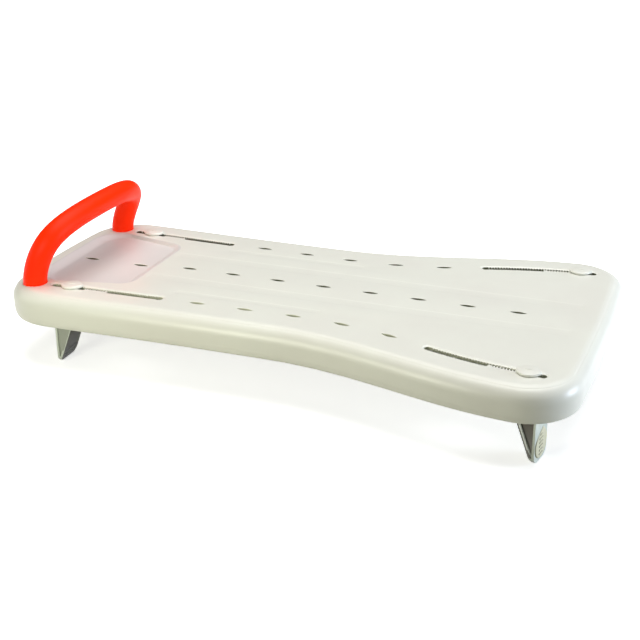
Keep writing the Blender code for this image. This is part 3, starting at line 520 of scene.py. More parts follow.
def board_edge(deck, count=720, soften=0.004):
    """The board's outline from above, counter-clockwise, and its outward normals: ends bowed as
    parabolas, round corners and flared sides, spaced evenly and softened by a Gaussian."""
    far = []
    for end, radius in ((1, deck.right_corner), (-1, deck.left_corner)):
        x = end * (half_length - end_bow - radius)
        y = float(side_half_width(np.array(x), deck)) - radius
        across = np.linspace(0, y, 60) if end > 0 else np.linspace(y, 0, 60)
        bowed = np.stack((end * (half_length - end_bow * (across / y) ** 2), across), -1)
        if end > 0:
            far += [bowed, arc((x, y), radius, 0, np.pi / 2, 60)]
            start = x
        else:
            along = np.linspace(start, x, 400)
            far += [np.stack((along, side_half_width(along, deck)), -1),
                    arc((x, y), radius, np.pi / 2, np.pi, 60), bowed]
    far = np.concatenate(far)
    outline = np.concatenate((far, far[::-1] * (1, -1)))
    outline = outline[np.hypot(*(outline - np.roll(outline, 1, 0)).T) > 1e-7]
    closed = np.vstack((outline, outline[:1]))
    run = np.concatenate(([0], np.cumsum(np.hypot(*np.diff(closed, axis=0).T))))
    at = np.linspace(0, run[-1], count, endpoint=False)
    even = np.stack([np.interp(at, run, closed[:, i]) for i in (0, 1)], -1)
    keep = np.exp(-2 * (np.pi * np.fft.fftfreq(count, run[-1] / count) * soften) ** 2)
    even = np.stack([np.fft.ifft(np.fft.fft(even[:, i]) * keep).real for i in (0, 1)], -1)
    return even, outward(even)


def rim_profile(deck):
    """Inset and height from the seat outwards and down: flat, a quarter circle with a fine
    moulding line on its shoulder, a slightly drafted skirt and an elliptical lower edge that ends
    in a narrow lip."""
    radius = deck.rim_radius
    line = np.radians(26.5)
    width = np.radians(1.4)
    turn = np.concatenate((np.linspace(0, line - width, 5)[1:],
                           [line - width / 2, line, line + width / 2],
                           np.linspace(line + width, np.pi / 2, 12)))
    depth = np.zeros(len(turn))
    depth[5] = 0.00016
    depth[[4, 6]] = 0.00006
    rim = np.stack((radius - (radius - depth) * np.sin(turn),
                    -radius + (radius - depth) * np.cos(turn)), -1)
    low = deck.skirt_depth - deck.lower_edge_height
    skirt = np.stack((np.linspace(0, skirt_draft, 4)[1:], -np.linspace(radius, low, 4)[1:]), -1)
    edge = np.linspace(0, np.pi / 2, 12)[1:]
    lower = np.stack((skirt_draft + deck.lower_edge_radius * (1 - np.cos(edge)),
                      -low - deck.lower_edge_height * np.sin(edge)), -1)
    lip = [(lower[-1, 0] + 0.0004, -deck.skirt_depth - 0.00003)]
    return np.concatenate(([(radius + 0.003, 0), (radius, 0)], rim, skirt, lower, lip))


def tray_ring(grow_side, grow_end, grow_inner=None):
    """The soap tray from above, counter-clockwise, grown at its sides, its outer end and its
    inner end: four round corners joined by straight runs."""
    inner = tray_inner_x + (grow_side if grow_inner is None else grow_inner)
    outer = tray_outer_x - grow_end
    slant = (tray_outer_half_width - tray_inner_half_width) / (tray_inner_x - tray_outer_x)
    inner_half = tray_inner_half_width + grow_side - slant * (inner - tray_inner_x)
    outer_half = tray_outer_half_width + grow_side + slant * grow_end
    near_round = tray_inner_radius + grow_side
    far_round = tray_outer_radius + grow_side
    first = arc((inner - near_round, inner_half - near_round), near_round, 0, np.pi / 2, 14)
    second = arc((outer + far_round, outer_half - far_round), far_round, np.pi / 2, np.pi, 18)
    share = np.linspace(0, 1, 26)[1:-1, None]
    far = np.concatenate((first, first[-1] + (second[0] - first[-1]) * share, second))
    near = far[::-1] * (1, -1)
    return np.concatenate((far, far[-1] + (near[0] - far[-1]) * share, near,
                           near[-1] + (far[0] - near[-1]) * share))


def lifted(points, height):
    """Flat points at a height above or below the seat."""
    return np.concatenate((points, np.full((*points.shape[:-1], 1), deck_top + height)), -1)


def wall_rings(outline, rows, level=0.0):
    """Rings down a wall: its outline for each row's growth, at the row's height from a level."""
    return np.stack([lifted(outline(grow), level + height) for grow, height in rows])


def inside(points, loop):
    """Which points lie inside a closed loop: those from which a ray crosses it an odd number of
    times."""
    ahead = np.roll(loop, -1, 0)
    x, y = points[:, :1], points[:, 1:]
    spans = (loop[:, 1] > y) != (ahead[:, 1] > y)
    rise = np.where(ahead[:, 1] == loop[:, 1], 1.0, ahead[:, 1] - loop[:, 1])
    crossing = loop[:, 0] + (y - loop[:, 1]) / rise * (ahead[:, 0] - loop[:, 0])
    return (spans & (crossing > x)).sum(1) % 2 == 1


def filled(outline, holes, height, finish=0):
    """A flat patch between an outline and the holes in it, as a constrained triangulation."""
    loops = [outline, *holes]
    edges, first = [], 0
    for loop in loops:
        index = np.arange(first, first + len(loop))
        edges.append(np.stack((index, np.roll(index, -1)), -1))
        first += len(loop)
    made = delaunay_2d_cdt([Vector(p) for p in np.concatenate(loops).tolist()],
                           np.concatenate(edges).tolist(), [], 1, 1e-7)
    flat = np.array([tuple(p) for p in made[0]])
    faces = np.array(made[2])
    middle = flat[faces].mean(1)
    solid = inside(middle, outline)
    for hole in holes:
        solid &= ~inside(middle, hole)
    return lifted(flat, height), faces[solid], finish


class Track:
    """A slot's centre line, with its knob's place on it. Its suffix names the pieces there."""

    def __init__(self, end, name):
        inner, outer, bow, knob_from_end = slots[end]
        chord = np.array(outer) - np.array(inner)
        half = np.linalg.norm(chord) / 2
        self.end = end
        self.side = sides[name]
        self.suffix = name + "_" + end
        self.along = chord / (2 * half)
        self.across = np.array((-self.along[1], self.along[0])) * np.sign(self.along[0])
        self.middle = (np.array(inner) + np.array(outer)) / 2
        self.bow = bow
        self.radius = (half ** 2 + bow ** 2) / (2 * bow) if bow else None
        self.half = self.radius * np.arcsin(half / self.radius) if bow else half
        self.knob = self.half - knob_from_end

    def place(self, run, across):
        """Points on the board, by their run outwards from the knob and their distance across the
        slot."""
        run = np.asarray(run)[..., None] + self.knob
        across = np.asarray(across)[..., None]
        if self.radius is None:
            points = self.middle + self.along * run + self.across * across
        else:
            turn = run / self.radius
            direction = self.along * np.sin(turn) + self.across * np.cos(turn)
            points = (self.middle + self.across * (self.bow - self.radius)
                      + direction * (self.radius + across))
        return points * (1, self.side)

    def at_knob(self):
        """The knob's place, and the outward and sideways directions there."""
        along = self.place(0.001, 0.0) - self.place(-0.001, 0.0)
        along = along / np.linalg.norm(along)
        return self.place(0.0, 0.0), along, np.array((-along[1], along[0]))

    def at_leg(self):
        """The same for the folded plate, which has its own angle on the right."""
        here, along, sideways = self.at_knob()
        if self.end == "right":
            along = np.array((np.cos(right_leg_angle), self.side * np.sin(right_leg_angle)))
            sideways = np.array((-along[1], along[0]))
        return here, along, sideways


def each_track():
    """Every slot's track."""
    return [Track(end, name) for end in slots for name in sides]


def on_board(directions, out, across, up):
    """Points from their distances outwards of the knob, sideways and up from the deck's top."""
    here, along, sideways = directions
    flat = here + np.asarray(out)[..., None] * along + np.asarray(across)[..., None] * sideways
    return lifted(flat, np.asarray(up)[..., None])


def from_board(directions, points):
    """How far points lie outwards of the knob, sideways, and below the deck's top."""
    here, along, sideways = directions
    flat = points[:, :2] - here
    return flat @ along, flat @ sideways, deck_top - points[:, 2]


def slot_ring(track, half, toothed, pitch):
    """A slot's outline at one level: straight or toothed sides and round ends. The teeth are a
    rounded wave with its roots at whole pitches from the knob."""
    low, high = -track.half - track.knob + slot_root, track.half - track.knob - slot_root
    run = np.linspace(low, high, int((high - low) / (pitch / 8)) + 1)
    width = np.full(len(run), half)
    if toothed:
        wave = (1 - np.cos(2 * np.pi * run / pitch)) / 2
        rack = (run > np.ceil(low / pitch) * pitch) & (run < np.floor(high / pitch) * pitch)
        width = half - (slot_root - slot_tip) * np.where(rack, wave, 0) ** 0.8
    turn = np.linspace(-np.pi / 2, np.pi / 2, 14)[1:-1]
    across = np.concatenate((-width, half * np.sin(turn), width[::-1], -half * np.sin(turn)))
    along = np.concatenate((run, high + half * np.cos(turn),
                            run[::-1], low - half * np.cos(turn)))
    return track.place(along, across)


def slot_rings(track, deck):
    """A slot's wall from the seat down: a narrow flat border, a bevelled mouth with softened
    edges, a ledge, and the toothed wall that ends in a small lip below the deck. The teeth's tips
    keep the deck's finish in their upper two rows."""
    mouth = ((0.0030, 0.0), (0.0025, 0.0), (0.0023, -0.00005), (0.0021, -0.00014),
             (0.0002, -0.00094), (0.00008, -0.00100), (0.00004, -0.00103))
    rack = ((0.00025, -0.00105), (0.00022, -0.00112), (0.00022, -0.00260),
            (0.00015, -deck.wall + 0.0001), (0.0004, -deck.wall - 0.00004))
    lip = ((0.0011, -deck.wall - 0.00006),)
    rings = np.concatenate([
        wall_rings(lambda grow: slot_ring(track, slot_root + grow, toothed, deck.tooth_pitch), rows)
        for rows, toothed in ((mouth, False), (rack, True), (lip, False))])
    top = len(mouth)
    plain = slot_ring(track, slot_root + rack[0][0], False, deck.tooth_pitch)
    stand = np.linalg.norm(rings[top, :, :2] - plain, axis=1)
    tip = (stand > 0.00035) & (np.roll(stand, -1) > 0.00035)
    # Below the mouth the walls are painted shade, lighter on the near side as painted light
    finish = from_row(rings, top, skin, dark if track.side > 0 else near_dark)
    finish = finish.reshape(len(rings) - 1, -1)
    finish[top:top + 2, tip] = skin
    return rings, finish.ravel()


def drain_rings(x, y, tilt, top, deck):
    """A drain hole's wall from the seat down: flat border, bevelled mouth, straight wall and a lip
    below. Each ring is a pointed oval, whose half width falls off as one less the square of the
    place along it."""
    rows = ((0.0016, 0.0), (0.00085, 0.0), (0.00070, -0.00005), (0.0006, -0.00014),
            (0.00010, -0.00042), (0.0, -0.00055), (0.0, -deck.wall - 0.00002),
            (0.0007, -deck.wall - 0.00005))
    along = -np.cos(np.linspace(0, np.pi, 21))[:-1]
    turn = np.array(((np.cos(tilt), -np.sin(tilt)), (np.sin(tilt), np.cos(tilt))))

    def oval(grow):
        reach, breadth = deck.drain_length / 2 + grow, deck.drain_width / 2 + grow * 0.8
        near = np.stack((along * reach, -breadth * (1 - along ** 2)), -1)
        return np.concatenate((near, -near)) @ turn.T + (x, y)

    return wall_rings(oval, rows, top)


def all_drains(deck):
    """Place, tilt and level of every drain hole."""
    found = [(drain_first_x + i * drain_pitch, 0.0, 0.0, 0.0) for i in range(middle_drain_count)]
    found += [(x, 0.0, 0.0, -deck.tray_depth) for x in tray_drain_x]
    for x, y in outer_drains:
        ahead = side_half_width(np.array((x - 0.01, x + 0.01)), deck)
        tilt = float(np.arctan2(ahead[1] - ahead[0], 0.02))
        found += [(x, side * y, side * tilt, 0.0) for side in sides.values()]
    return found


def socket_rings(side):
    """The round seat of one of the handle's feet: border, rounded mouth, wall, and floor to the
    bolt's hole."""
    rows = ((0.0011, 0.0), (0.0005, 0.0), (0.00025, -0.00007), (0.00007, -0.00025),
            (0.0, -0.0005), (0.0, -socket_depth), (bolt_hole_radius - socket_radius, -socket_depth))
    centre = (foot_x, side * foot_y)
    return wall_rings(lambda grow: arc(centre, socket_radius + grow, 0, 2 * np.pi, 73)[:-1], rows)


def channel_rings(channel, side, depth):
    """A faint channel from the seat down: a long rectangle with round corners, whose sides curve
    in to its floor."""
    low_x, high_x, low_y, high_y = np.array(channel) + channel_corner * np.array((1, -1, 1, -1))
    centres = ((high_x, low_y), (high_x, high_y), (low_x, high_y), (low_x, low_y))
    rows = [(0.0002 - 0.0004 * i, -depth * share)
            for i, share in enumerate((0, 0.16, 0.5, 0.84, 1))]
    return wall_rings(lambda grow: np.concatenate(
        [arc(centre, channel_corner + grow, (i - 1) * np.pi / 2, i * np.pi / 2, 8)
         for i, centre in enumerate(centres)]) * (1, side), rows)


def deck_skin(deck):
    """The deck's outside: the rim's profile carried round the outline, the tray as a loft of its
    outline, each hole as rings of its outline, and flat triangulated patches between them."""
    edge, normal = board_edge(deck)
    inset, height = rim_profile(deck).T[..., None, None]
    rim = lifted(edge - inset * normal, height)

    share = np.linspace(0, 1, 11)
    rise = (share + 2 * raised_cosine(share)) / 3
    mouth = tray_ring(tray_border + tray_side_slope, tray_border + tray_end_slope)
    floor = tray_ring(-0.001, -0.001, -0.009)
    walls = [lifted(tray_ring(tray_side_slope * s, tray_end_slope * s,
                              tray_side_slope - tray_inner_slope * (1 - s)),
                    deck.tray_depth * (r - 1)) for s, r in zip(share[::-1], rise[::-1])]
    # The tray's walls and floor take its greyer finish: painted shade
    patches = [loft(rim), loft([lifted(mouth, 0.0), *walls, lifted(floor, -deck.tray_depth)], tray)]
    holes, tray_holes = [mouth], []

    def cut(rings, finish=skin, into=holes):
        """Adds a hole's wall, and notes its mouth for the flat patch round it."""
        patches.append(loft(rings, finish))
        into.append(rings[0, :, :2])

    for x, y, tilt, top in all_drains(deck):
        rings = drain_rings(x, y, tilt, top, deck)
        # Below the mouth the drains' walls are painted shade, lighter in the near row as painted
        # light
        cut(rings, from_row(rings, 4, skin, near_dark if y < -0.05 else dark),
            tray_holes if top else holes)
    for track in each_track():
        cut(*slot_rings(track, deck))
    for side in sides.values():
        cut(socket_rings(side))
    for channel in channels:
        for side in sides.values():
            rings = channel_rings(channel, side, deck.channel_depth)
            cut(rings)
            patches.append(filled(rings[-1, :, :2], [], -deck.channel_depth))
    patches.append(filled(floor, tray_holes, -deck.tray_depth, tray))
    patches.append(filled(rim[0, :, :2], holes, 0.0))
    return mesh_from("deck_skin", patches, 32)


def turned_in(radius, rise):
    """How far a quarter circle has turned in at a height above its centre."""
    return radius - np.sqrt(np.maximum(radius ** 2 - np.maximum(rise, 0) ** 2, 0))


def deck_underside(deck):
    """The deck's inside and underside: the CAD deck's faces without those that the skin stands
    for."""
    points, corners = node_triangles("deck")
    three = points[corners]
    normal = unit(np.cross(three[:, 1] - three[:, 0], three[:, 2] - three[:, 0]))
    middle = three.mean(1)
    depth = middle[:, 2] - deck_top

    edge, edge_normal = board_edge(deck)
    unique, back = np.unique(points.round(6), axis=0, return_inverse=True)
    nearest = np.concatenate([((some[:, None, :2] - edge[None]) ** 2).sum(-1).argmin(1)
                              for some in np.array_split(unique, 40)])
    inset = ((edge[nearest] - unique[:, :2]) * edge_normal[nearest]).sum(1)
    below = deck_top - unique[:, 2]
    allowed = turned_in(deck.rim_radius, deck.rim_radius - below) + turned_in(
        deck.lower_edge_radius, below - deck.skirt_depth + deck.lower_edge_radius)
    outer = (inset <= allowed + 0.0007)[back.ravel()][corners].all(1)

    upright = np.abs(normal[:, 2]) <= 0.3
    seat = (normal[:, 2] > 0.3) & (depth > -deck.tray_depth - 0.0002)
    tray_drains = (np.abs(np.abs(middle[:, 0, None] - np.array(tray_drain_x)).min(1)) < 0.0115) & (
        np.abs(middle[:, 1]) < 0.0045)
    wall = deck.wall + np.where(tray_drains, deck.tray_depth, 0) + 0.0001
    kept = corners[~(outer | seat | (upright & (depth > -wall)))]
    mesh = bpy.data.meshes.new("deck_underside")
    used, places = np.unique(kept, return_inverse=True)
    mesh.from_pydata(points[used], [], places.reshape(-1, 3).tolist())
    work = bmesh.new()
    work.from_mesh(mesh)
    bmesh.ops.remove_doubles(work, verts=work.verts, dist=weld)
    return smoothed(work, mesh, 30)


def arch_line(share, handle):
    """Points on the bar's centre line, for shares from the near foot to the far one: each half is
    a cubic Bezier curve that rises straight, bulges outwards at its shoulder and meets the other
    at the top, and the whole leans inwards by a power of its height."""
    side = np.where(share < 0.5, -1, 1)
    step = np.where(share < 0.5, 2 * share, 2 * (1 - share))
    rise = handle.arch_height - foot_straight
    weights = np.stack(((1 - step) ** 3, 3 * step * (1 - step) ** 2, 3 * step ** 2 * (1 - step),
                        step ** 3))
    y = np.array((foot_y, foot_y, arch_shoulder_y, 0)) @ weights
    height = np.array((0, arch_shoulder_height - foot_straight, rise, rise)) @ weights
    lean = arch_lean * (height / rise) ** arch_lean_power
    return np.stack((foot_x + lean, side * y, deck_top + foot_straight + height), -1)


def handle_bar(handle):
    """The bar: a circle carried along the arch, a little thicker at its feet, with a rounded end
    in each socket. The path is spaced evenly and softened by a short weighted mean."""
    share = np.linspace(0, 1, 121)
    bend = arch_line(raised_cosine(share) * 0.5 + share * 0.5, handle)
    foot = np.array(((foot_x, -foot_y, deck_top - socket_depth + gap),
                     (foot_x, -foot_y, deck_top + 0.0005)))
    path = np.concatenate((foot, bend, foot[::-1] * (1, -1, 1)))
    run = np.concatenate(([0], np.cumsum(np.linalg.norm(np.diff(path, axis=0), axis=1))))
    even = np.linspace(0, run[-1], 150)
    path = np.stack([np.interp(even, run, path[:, i]) for i in range(3)], -1)
    soft = np.pad(path, ((3, 3), (0, 0)), mode="edge")
    weights = np.array((1, 4, 8, 10, 8, 4, 1)) / 36
    soft = sum(weight * soft[i:i + len(path)] for i, weight in enumerate(weights))
    path[4:-4] = soft[4:-4]
    ahead = unit(np.gradient(path, axis=0))
    first = unit(np.array((1.0, 0, 0)) - ahead * ahead[:, :1])
    second = np.cross(ahead, first)
    share = 1 - np.abs(np.linspace(-1, 1, len(path)))
    thinner = (handle.top_radius - handle.foot_radius) * raised_cosine(share * 1.5)
    turn = full_turn(56)[None, :, None]
    rings = path[:, None] + (handle.foot_radius + thinner)[:, None, None] * (
        first[:, None] * np.cos(turn) + second[:, None] * np.sin(turn))
    shrink = np.array((1, 0.6, 0.0))[:, None, None]
    caps = [loft(path[i] + (rings[i][None] - path[i]) * shrink) for i in (0, -1)]
    return mesh_from("handle_bar", [loft(rings), *caps], 50)


def turned_rings(side, profile, count):
    """Rings about a bolt's upright axis, from a profile of radii, or rings of radii, and
    heights."""
    turn = full_turn(count)
    radius = np.stack([np.broadcast_to(radius, count) for radius, _ in profile])
    height = np.broadcast_to(np.array([height for _, height in profile])[:, None], radius.shape)
    return np.stack((foot_x + radius * np.cos(turn), side * foot_y + radius * np.sin(turn),
                     height), -1)


def bolt_shape(side):
    """A pan-head bolt, turned about its axis: shank with a chamfered tip, domed head and a
    six-sided socket."""
    top = boss_bottom - 2 * gap - washer_thickness
    low = top - 0.0032
    tip = deck_top + 0.018
    turn = full_turn(36)
    six = 0.00135 / np.cos((turn + np.pi / 6) % (np.pi / 3) - np.pi / 6)
    profile = ((0, tip), (0.0021, tip), (0.0025, tip - 0.0005), (0.0025, top), (0.0042, top),
               (0.0045, top - 0.0003), (0.0045, low + 0.0012), (0.0043, low + 0.0005),
               (0.0037, low + 0.0001), (0.0030, low), (0.0016, low),
               (six, low), (six * 0.98, low + 0.0016), (0, low + 0.0019))
    return mesh_from("handle_bolt", [loft(turned_rings(side, profile, 36))], 35)


def washer_shape(side):
    """A flat washer with softened edges, turned about its axis."""
    top = boss_bottom - gap
    low = top - washer_thickness
    profile = ((0.0029, top), (0.0068, top), (0.00695, top - 0.0001), (0.0070, top - 0.0003),
               (0.0070, low + 0.0003), (0.00695, low + 0.0001), (0.0068, low), (0.0029, low),
               (0.0028, low + 0.0001), (0.0028, top - 0.0001))
    return mesh_from("handle_washer", [loft(turned_rings(side, profile, 48), wrap_rows=True)], 40)


def leaf_ring(reach, breadth, blunt):
    """A leaf from above: pointed at its outer end, blunter at its inner one. Its half width falls
    off as a power of one less the square of the place along it, the power being smaller at the
    blunt end."""
    along = -np.cos(np.linspace(0, np.pi, 41))
    power = 0.80 - blunt * raised_cosine((1 - along) / 2)
    width = breadth * np.maximum(1 - along ** 2, 0) ** power
    near = np.stack((along * reach, -width), -1)[:-1]
    return np.concatenate((near, np.stack((along * reach, width), -1)[:0:-1]))


def knob_cap(track, knob):
    """The cap: leaf outlines stacked into a flat dome with a small nib on top, over the CAD cap's
    stem and prongs. Every cap points to the board's wide end and lies outwards of its stem."""
    top = knob.height
    dome_rows = ((0.0, gap), (0.945, gap), (0.965, gap + 0.0001), (0.985, gap + 0.0005),
                 (1.0, gap + 0.0011), (1.0, gap + 0.0019), (0.99, top - 0.0016),
                 (0.965, top - 0.0012), (0.93, top - 0.0009), (0.88, top - 0.0007),
                 (0.80, top - 0.0005), (0.68, top - 0.00032), (0.54, top - 0.00018),
                 (0.40, top - 0.00009), (0.22, top - 0.00003), (0.0, top))
    nib_rows = ((1.1, top - 0.0006), (1.0, top + 0.0002), (0.86, top + 0.00045),
                (0.6, top + 0.0005), (0.0, top + 0.0005))
    turn, shift = (1, 1) if track.end == "right" else (-1, left_cap_share)
    dome = leaf_ring(knob.half_length, knob.half_width, 0.16) * (turn, 1)
    patches = [loft([on_board(track.at_knob(), leaf[:, 0] * scale + knob.outwards * shift,
                              leaf[:, 1] * scale, height) for scale, height in rows])
               for leaf, rows in ((dome, dome_rows), (leaf_ring(0.0040, 0.0013, 0.0), nib_rows))]
    points, corners = node_triangles("knob_cap_" + track.suffix)
    level = points[corners][:, :, 2] - deck_top - gap
    below = (level < 0.00002).all(1) & (level.min(1) < -0.0002)
    patches.append((points, corners[below], 0))
    return mesh_from("knob_cap_" + track.suffix, patches, 38)


def leaf_edge(half_width):
    """The pad's outline from its front: pointed at the top and round below, counter-clockwise
    from below."""
    share = np.linspace(0, 1, 18)
    upper = np.stack((half_width * (1 - (1 - share) ** 2),
                      -pad_tip - share * (pad_widest - pad_tip)), -1)
    turn = np.linspace(0, np.pi / 2, 18)[1:]
    lower = np.stack((half_width * np.cos(turn),
                      -pad_widest - (pad_foot - pad_widest) * np.sin(turn)), -1)
    half = np.concatenate((upper, lower))
    left = half[1:-1] * (-1, 1)
    return np.concatenate((half, left[::-1]))[::-1]


def grip_pad(track, pad):
    """The pad: its leaf outline carried forwards over a rounded edge to a flat face, with short
    rounded ribs."""
    directions = track.at_leg()
    face = plate_face + pad_thickness
    outline = leaf_edge(pad.half_width)
    inner = np.sign(-track.side * directions[2][1])
    above = np.clip((outline[:, 1] + pad_widest) / (pad_widest - pad_tip), 0, 1)
    outline[:, 0] += inner * (pad_shift + pad_lean * above ** 1.5)
    centre = np.array((inner * pad_shift, -pad_middle))
    inward = outward(outline)
    inward *= np.sign(((centre - outline) * inward).sum(1).mean())

    def ring(flat, out):
        """An outline on the pad's front, carried to a distance outwards."""
        return on_board(directions, out, flat[:, 0], flat[:, 1])

    turn = np.linspace(0, np.pi / 2, 5)
    radius = pad.edge_radius
    insets, outs = radius * (1 - np.cos(turn)), face - radius + radius * np.sin(turn)
    last = outline + inward * insets[-1]
    rings = [ring(outline, plate_face - 0.0001),
             *(ring(outline + inward * inset, out) for inset, out in zip(insets, outs)),
             *(ring(centre + (last - centre) * scale, face) for scale in (0.8, 0.4, 0.0))]
    # The pad's rounded edge is painted darker: painted shade
    patches = [loft(rings, from_row(rings, 2, pad_edge, pad_face))]
    around = full_turn(24)
    tall = 0.0007
    rows = ((1.0, -0.0004), (1.0, pad.rib_height * 0.5), (0.97, pad.rib_height * 0.85),
            (0.8, pad.rib_height), (0.0, pad.rib_height))
    for i in range(pad.rib_count):
        drop = 0.0635 + i * 0.0043
        wide = pad.half_width * 0.32 * (0.6 if i == 0 else 1.0)
        x = np.sign(np.cos(around)) * (wide - tall) + tall * np.cos(around)
        z = tall * np.sin(around)
        rings = [ring(np.stack((x * s - inner * 0.0008, z * s - drop), -1), face + out)
                 for s, out in rows]
        # The ribs' flanks are painted darker: painted shade
        patches.append(loft(rings, from_row(rings, 3, pad_edge, pad_face)))
    return mesh_from("grip_pad_" + track.suffix, patches, 50, (*directions[1], 0))


def cover_strip(track, pitch):
    """The strip that fills the slot inwards of the knob: its outline carried down, with a square
    pocket at each tooth pitch along its far edge."""
    half, top, bottom = 0.0027, -0.0018, -0.0032
    reach, outer, inner, pocket_depth = 0.0008, 0.0025, 0.0004, 0.0012
    low, high = strip_ends[track.end]
    plain = np.linspace(low, high, 14)
    turn = np.linspace(0, np.pi, 9)[1:-1]
    run = np.concatenate((plain, plain[::-1], low - 0.0012 * np.sin(turn)))
    across = np.concatenate((np.full(14, half), np.full(14, -half), -half * np.cos(turn)))
    outline = track.place(run, across * track.side)
    first, last = np.ceil((-high + 0.001) / pitch), np.floor((-low - 0.001) / pitch)
    pockets = [track.place(-pitch * number + np.array((-reach, reach, reach, -reach)),
                           track.side * np.array((outer, outer, inner, inner)))
               for number in np.arange(first, last + 1)]
    patches = [filled(outline, pockets, top), filled(outline, [], bottom),
               loft((lifted(outline, top), lifted(outline, bottom)))]
    for pocket in pockets:
        floor = lifted(pocket, top - pocket_depth)
        # The pockets' walls and floors are painted dark: painted shade
        patches.append(loft((lifted(pocket, top), floor), dark))
        patches.append((floor, np.array(((0, 1, 2, 3),)), dark))
    return mesh_from("cover_strip_" + track.suffix, patches, 30)


def flange_out(drop):
    """How far outwards of the knob the CAD leg's sloping flange lies at a depth below the deck."""
    return -0.0155 + 0.335 * drop


def flange_back(drop):
    """How far the flange is set back at a depth: most at the skirt, and nothing at the foot."""
    return flange_set_back * np.clip(1 - (drop - skirt_level) / 0.056, 0, 1)


def side_band(directions, side):
    """A raised band along the flange's edge: a flat bar that follows the slope down to the foot,
    narrowing as the foot does. Its points and faces."""
    low = 0.0895
    drop = np.linspace(fold_top, low, 8)[:, None]
    lower = np.clip((drop - 0.074) / (low - 0.074), 0, 1)
    edge = leg_half_width * (1 + leg_widening) + 0.0003 - 0.0045 * lower ** 2
    out = np.array((0.0013, 0.0021, 0.0043, 0.0043, 0.0013))
    across = np.array((0.0, 0.0, 0.0, -0.0020, -0.0020))
    run = flange_out(drop) - flange_back(drop) + out
    points, faces, _ = loft(on_board(directions, run, side * (edge + across), -drop))
    return points, [*faces.tolist(), [0, 1, 2, 3, 4], [35, 36, 37, 38, 39]]


def side_panel(directions, side):
    """A flat panel between the flange's band and the plate, set back from the leg's side. Its
    points and faces."""
    low = 0.086
    drop = np.array((fold_top, fold_top, low, low))
    run = (flange_out(fold_top) - 0.0015, plate_face, plate_face, flange_out(low) + 0.0035)
    points = on_board(directions, run, side * np.array(((0.0148,), (0.0138,))), -drop)
    return points.reshape(-1, 3), ((0, 1, 2, 3), (7, 6, 5, 4), (0, 4, 5, 1), (1, 5, 6, 2),
                                   (2, 6, 7, 3), (3, 7, 4, 0))


def reshape_leg(mesh, directions):
    """Widens the folded part, sets its flange back and its plate forwards, rounds its foot's
    corners and lowers the leg's own strip below the cover strip."""
    run, across, drop = from_board(directions, read_threes(mesh.vertices, "co"))
    ramp = raised_cosine((drop - fold_top - 0.0001) / 0.0065)
    room = np.maximum(plate_face - flange_out(drop), 0.001)
    share = np.clip((run - flange_out(drop)) / room, 0, 1)
    run = run + ramp * (plate_forwards * share - flange_back(drop) * (1 - share))
    corner = raised_cosine((np.abs(across) - 0.006) / 0.010) * raised_cosine((drop - 0.080) / 0.012)
    up = 0.0022 * corner * ramp - 0.0021 * (drop < 0.002) - drop
    points = on_board(directions, run, across * (1 + leg_widening * ramp), up)
    mesh.vertices.foreach_set("co", points.ravel())
    mesh.update()


def leg_finish(mesh, directions, end):
    """Each face's material from where it lies: painted shade near the slot, and painted shade
    inside the fold and on the flange's flanks (right) or on its outer face (left)."""
    run, across, drop = from_board(directions, read_threes(mesh.polygons, "center"))
    facing = read_threes(mesh.polygons, "normal")[:, :2] @ directions[1]
    across = np.abs(across)
    behind = run - flange_out(drop) + flange_back(drop)
    folded = drop > fold_top + 0.0005
    within = folded & (across < leg_half_width)
    inside_fold = within & (behind > 0.0012) & (run < plate_face - 0.0008)
    flank = folded & (across > leg_half_width) & (behind < 0.0016)
    face_out = within & (behind < 0.0014) & (facing < -0.2)
    shaded_faces = inside_fold | flank if end == "right" else face_out
    return np.where(drop < 0.0042, in_slot, np.where(shaded_faces, fold, outside)).astype(np.int32)


def folded_leg(track):
    """The leg: a merged copy of its CAD shape with its folded part reshaped, a band along each of
    the flange's edges and a panel in each side."""
    directions = track.at_leg()
    work = bmesh.new()
    work.from_mesh(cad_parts["leg_" + track.suffix].data)
    bmesh.ops.remove_doubles(work, verts=work.verts, dist=weld)
    bmesh.ops.dissolve_limit(work, angle_limit=np.radians(1.0), verts=work.verts, edges=work.edges)
    for drop in (fold_top, skirt_level):
        bmesh.ops.bisect_plane(work, geom=[*work.verts, *work.edges, *work.faces], dist=0.000001,
                               plane_co=(0, 0, deck_top - drop), plane_no=(0, 0, 1))
    mesh = bpy.data.meshes.new("bracket_" + track.suffix)
    work.to_mesh(mesh)
    work.free()
    reshape_leg(mesh, directions)
    mesh.polygons.foreach_set("material_index", leg_finish(mesh, directions, track.end))

    # Right legs: the bands' outer edges and the panels are painted shade and the bands a painted
    # highlight; left legs: both are painted shade
    band_finish, panel_finish = (fold, band, band, band, fold) * 7 + (band,) * 2, (fold,) * 6
    if track.end == "left":
        band_finish = panel_finish = (side_wall,) * 37
    work = bmesh.new()
    work.from_mesh(mesh)
    for side in sides.values():
        for shape, finishes in ((side_band, band_finish), (side_panel, panel_finish)):
            points, faces = shape(directions, side)
            made = [work.verts.new(point) for point in points]
            for face, finish in zip(faces, finishes):
                work.faces.new([made[i] for i in face]).material_index = finish
    bmesh.ops.recalc_face_normals(work, faces=work.faces)
    return smoothed(work, mesh, 35)


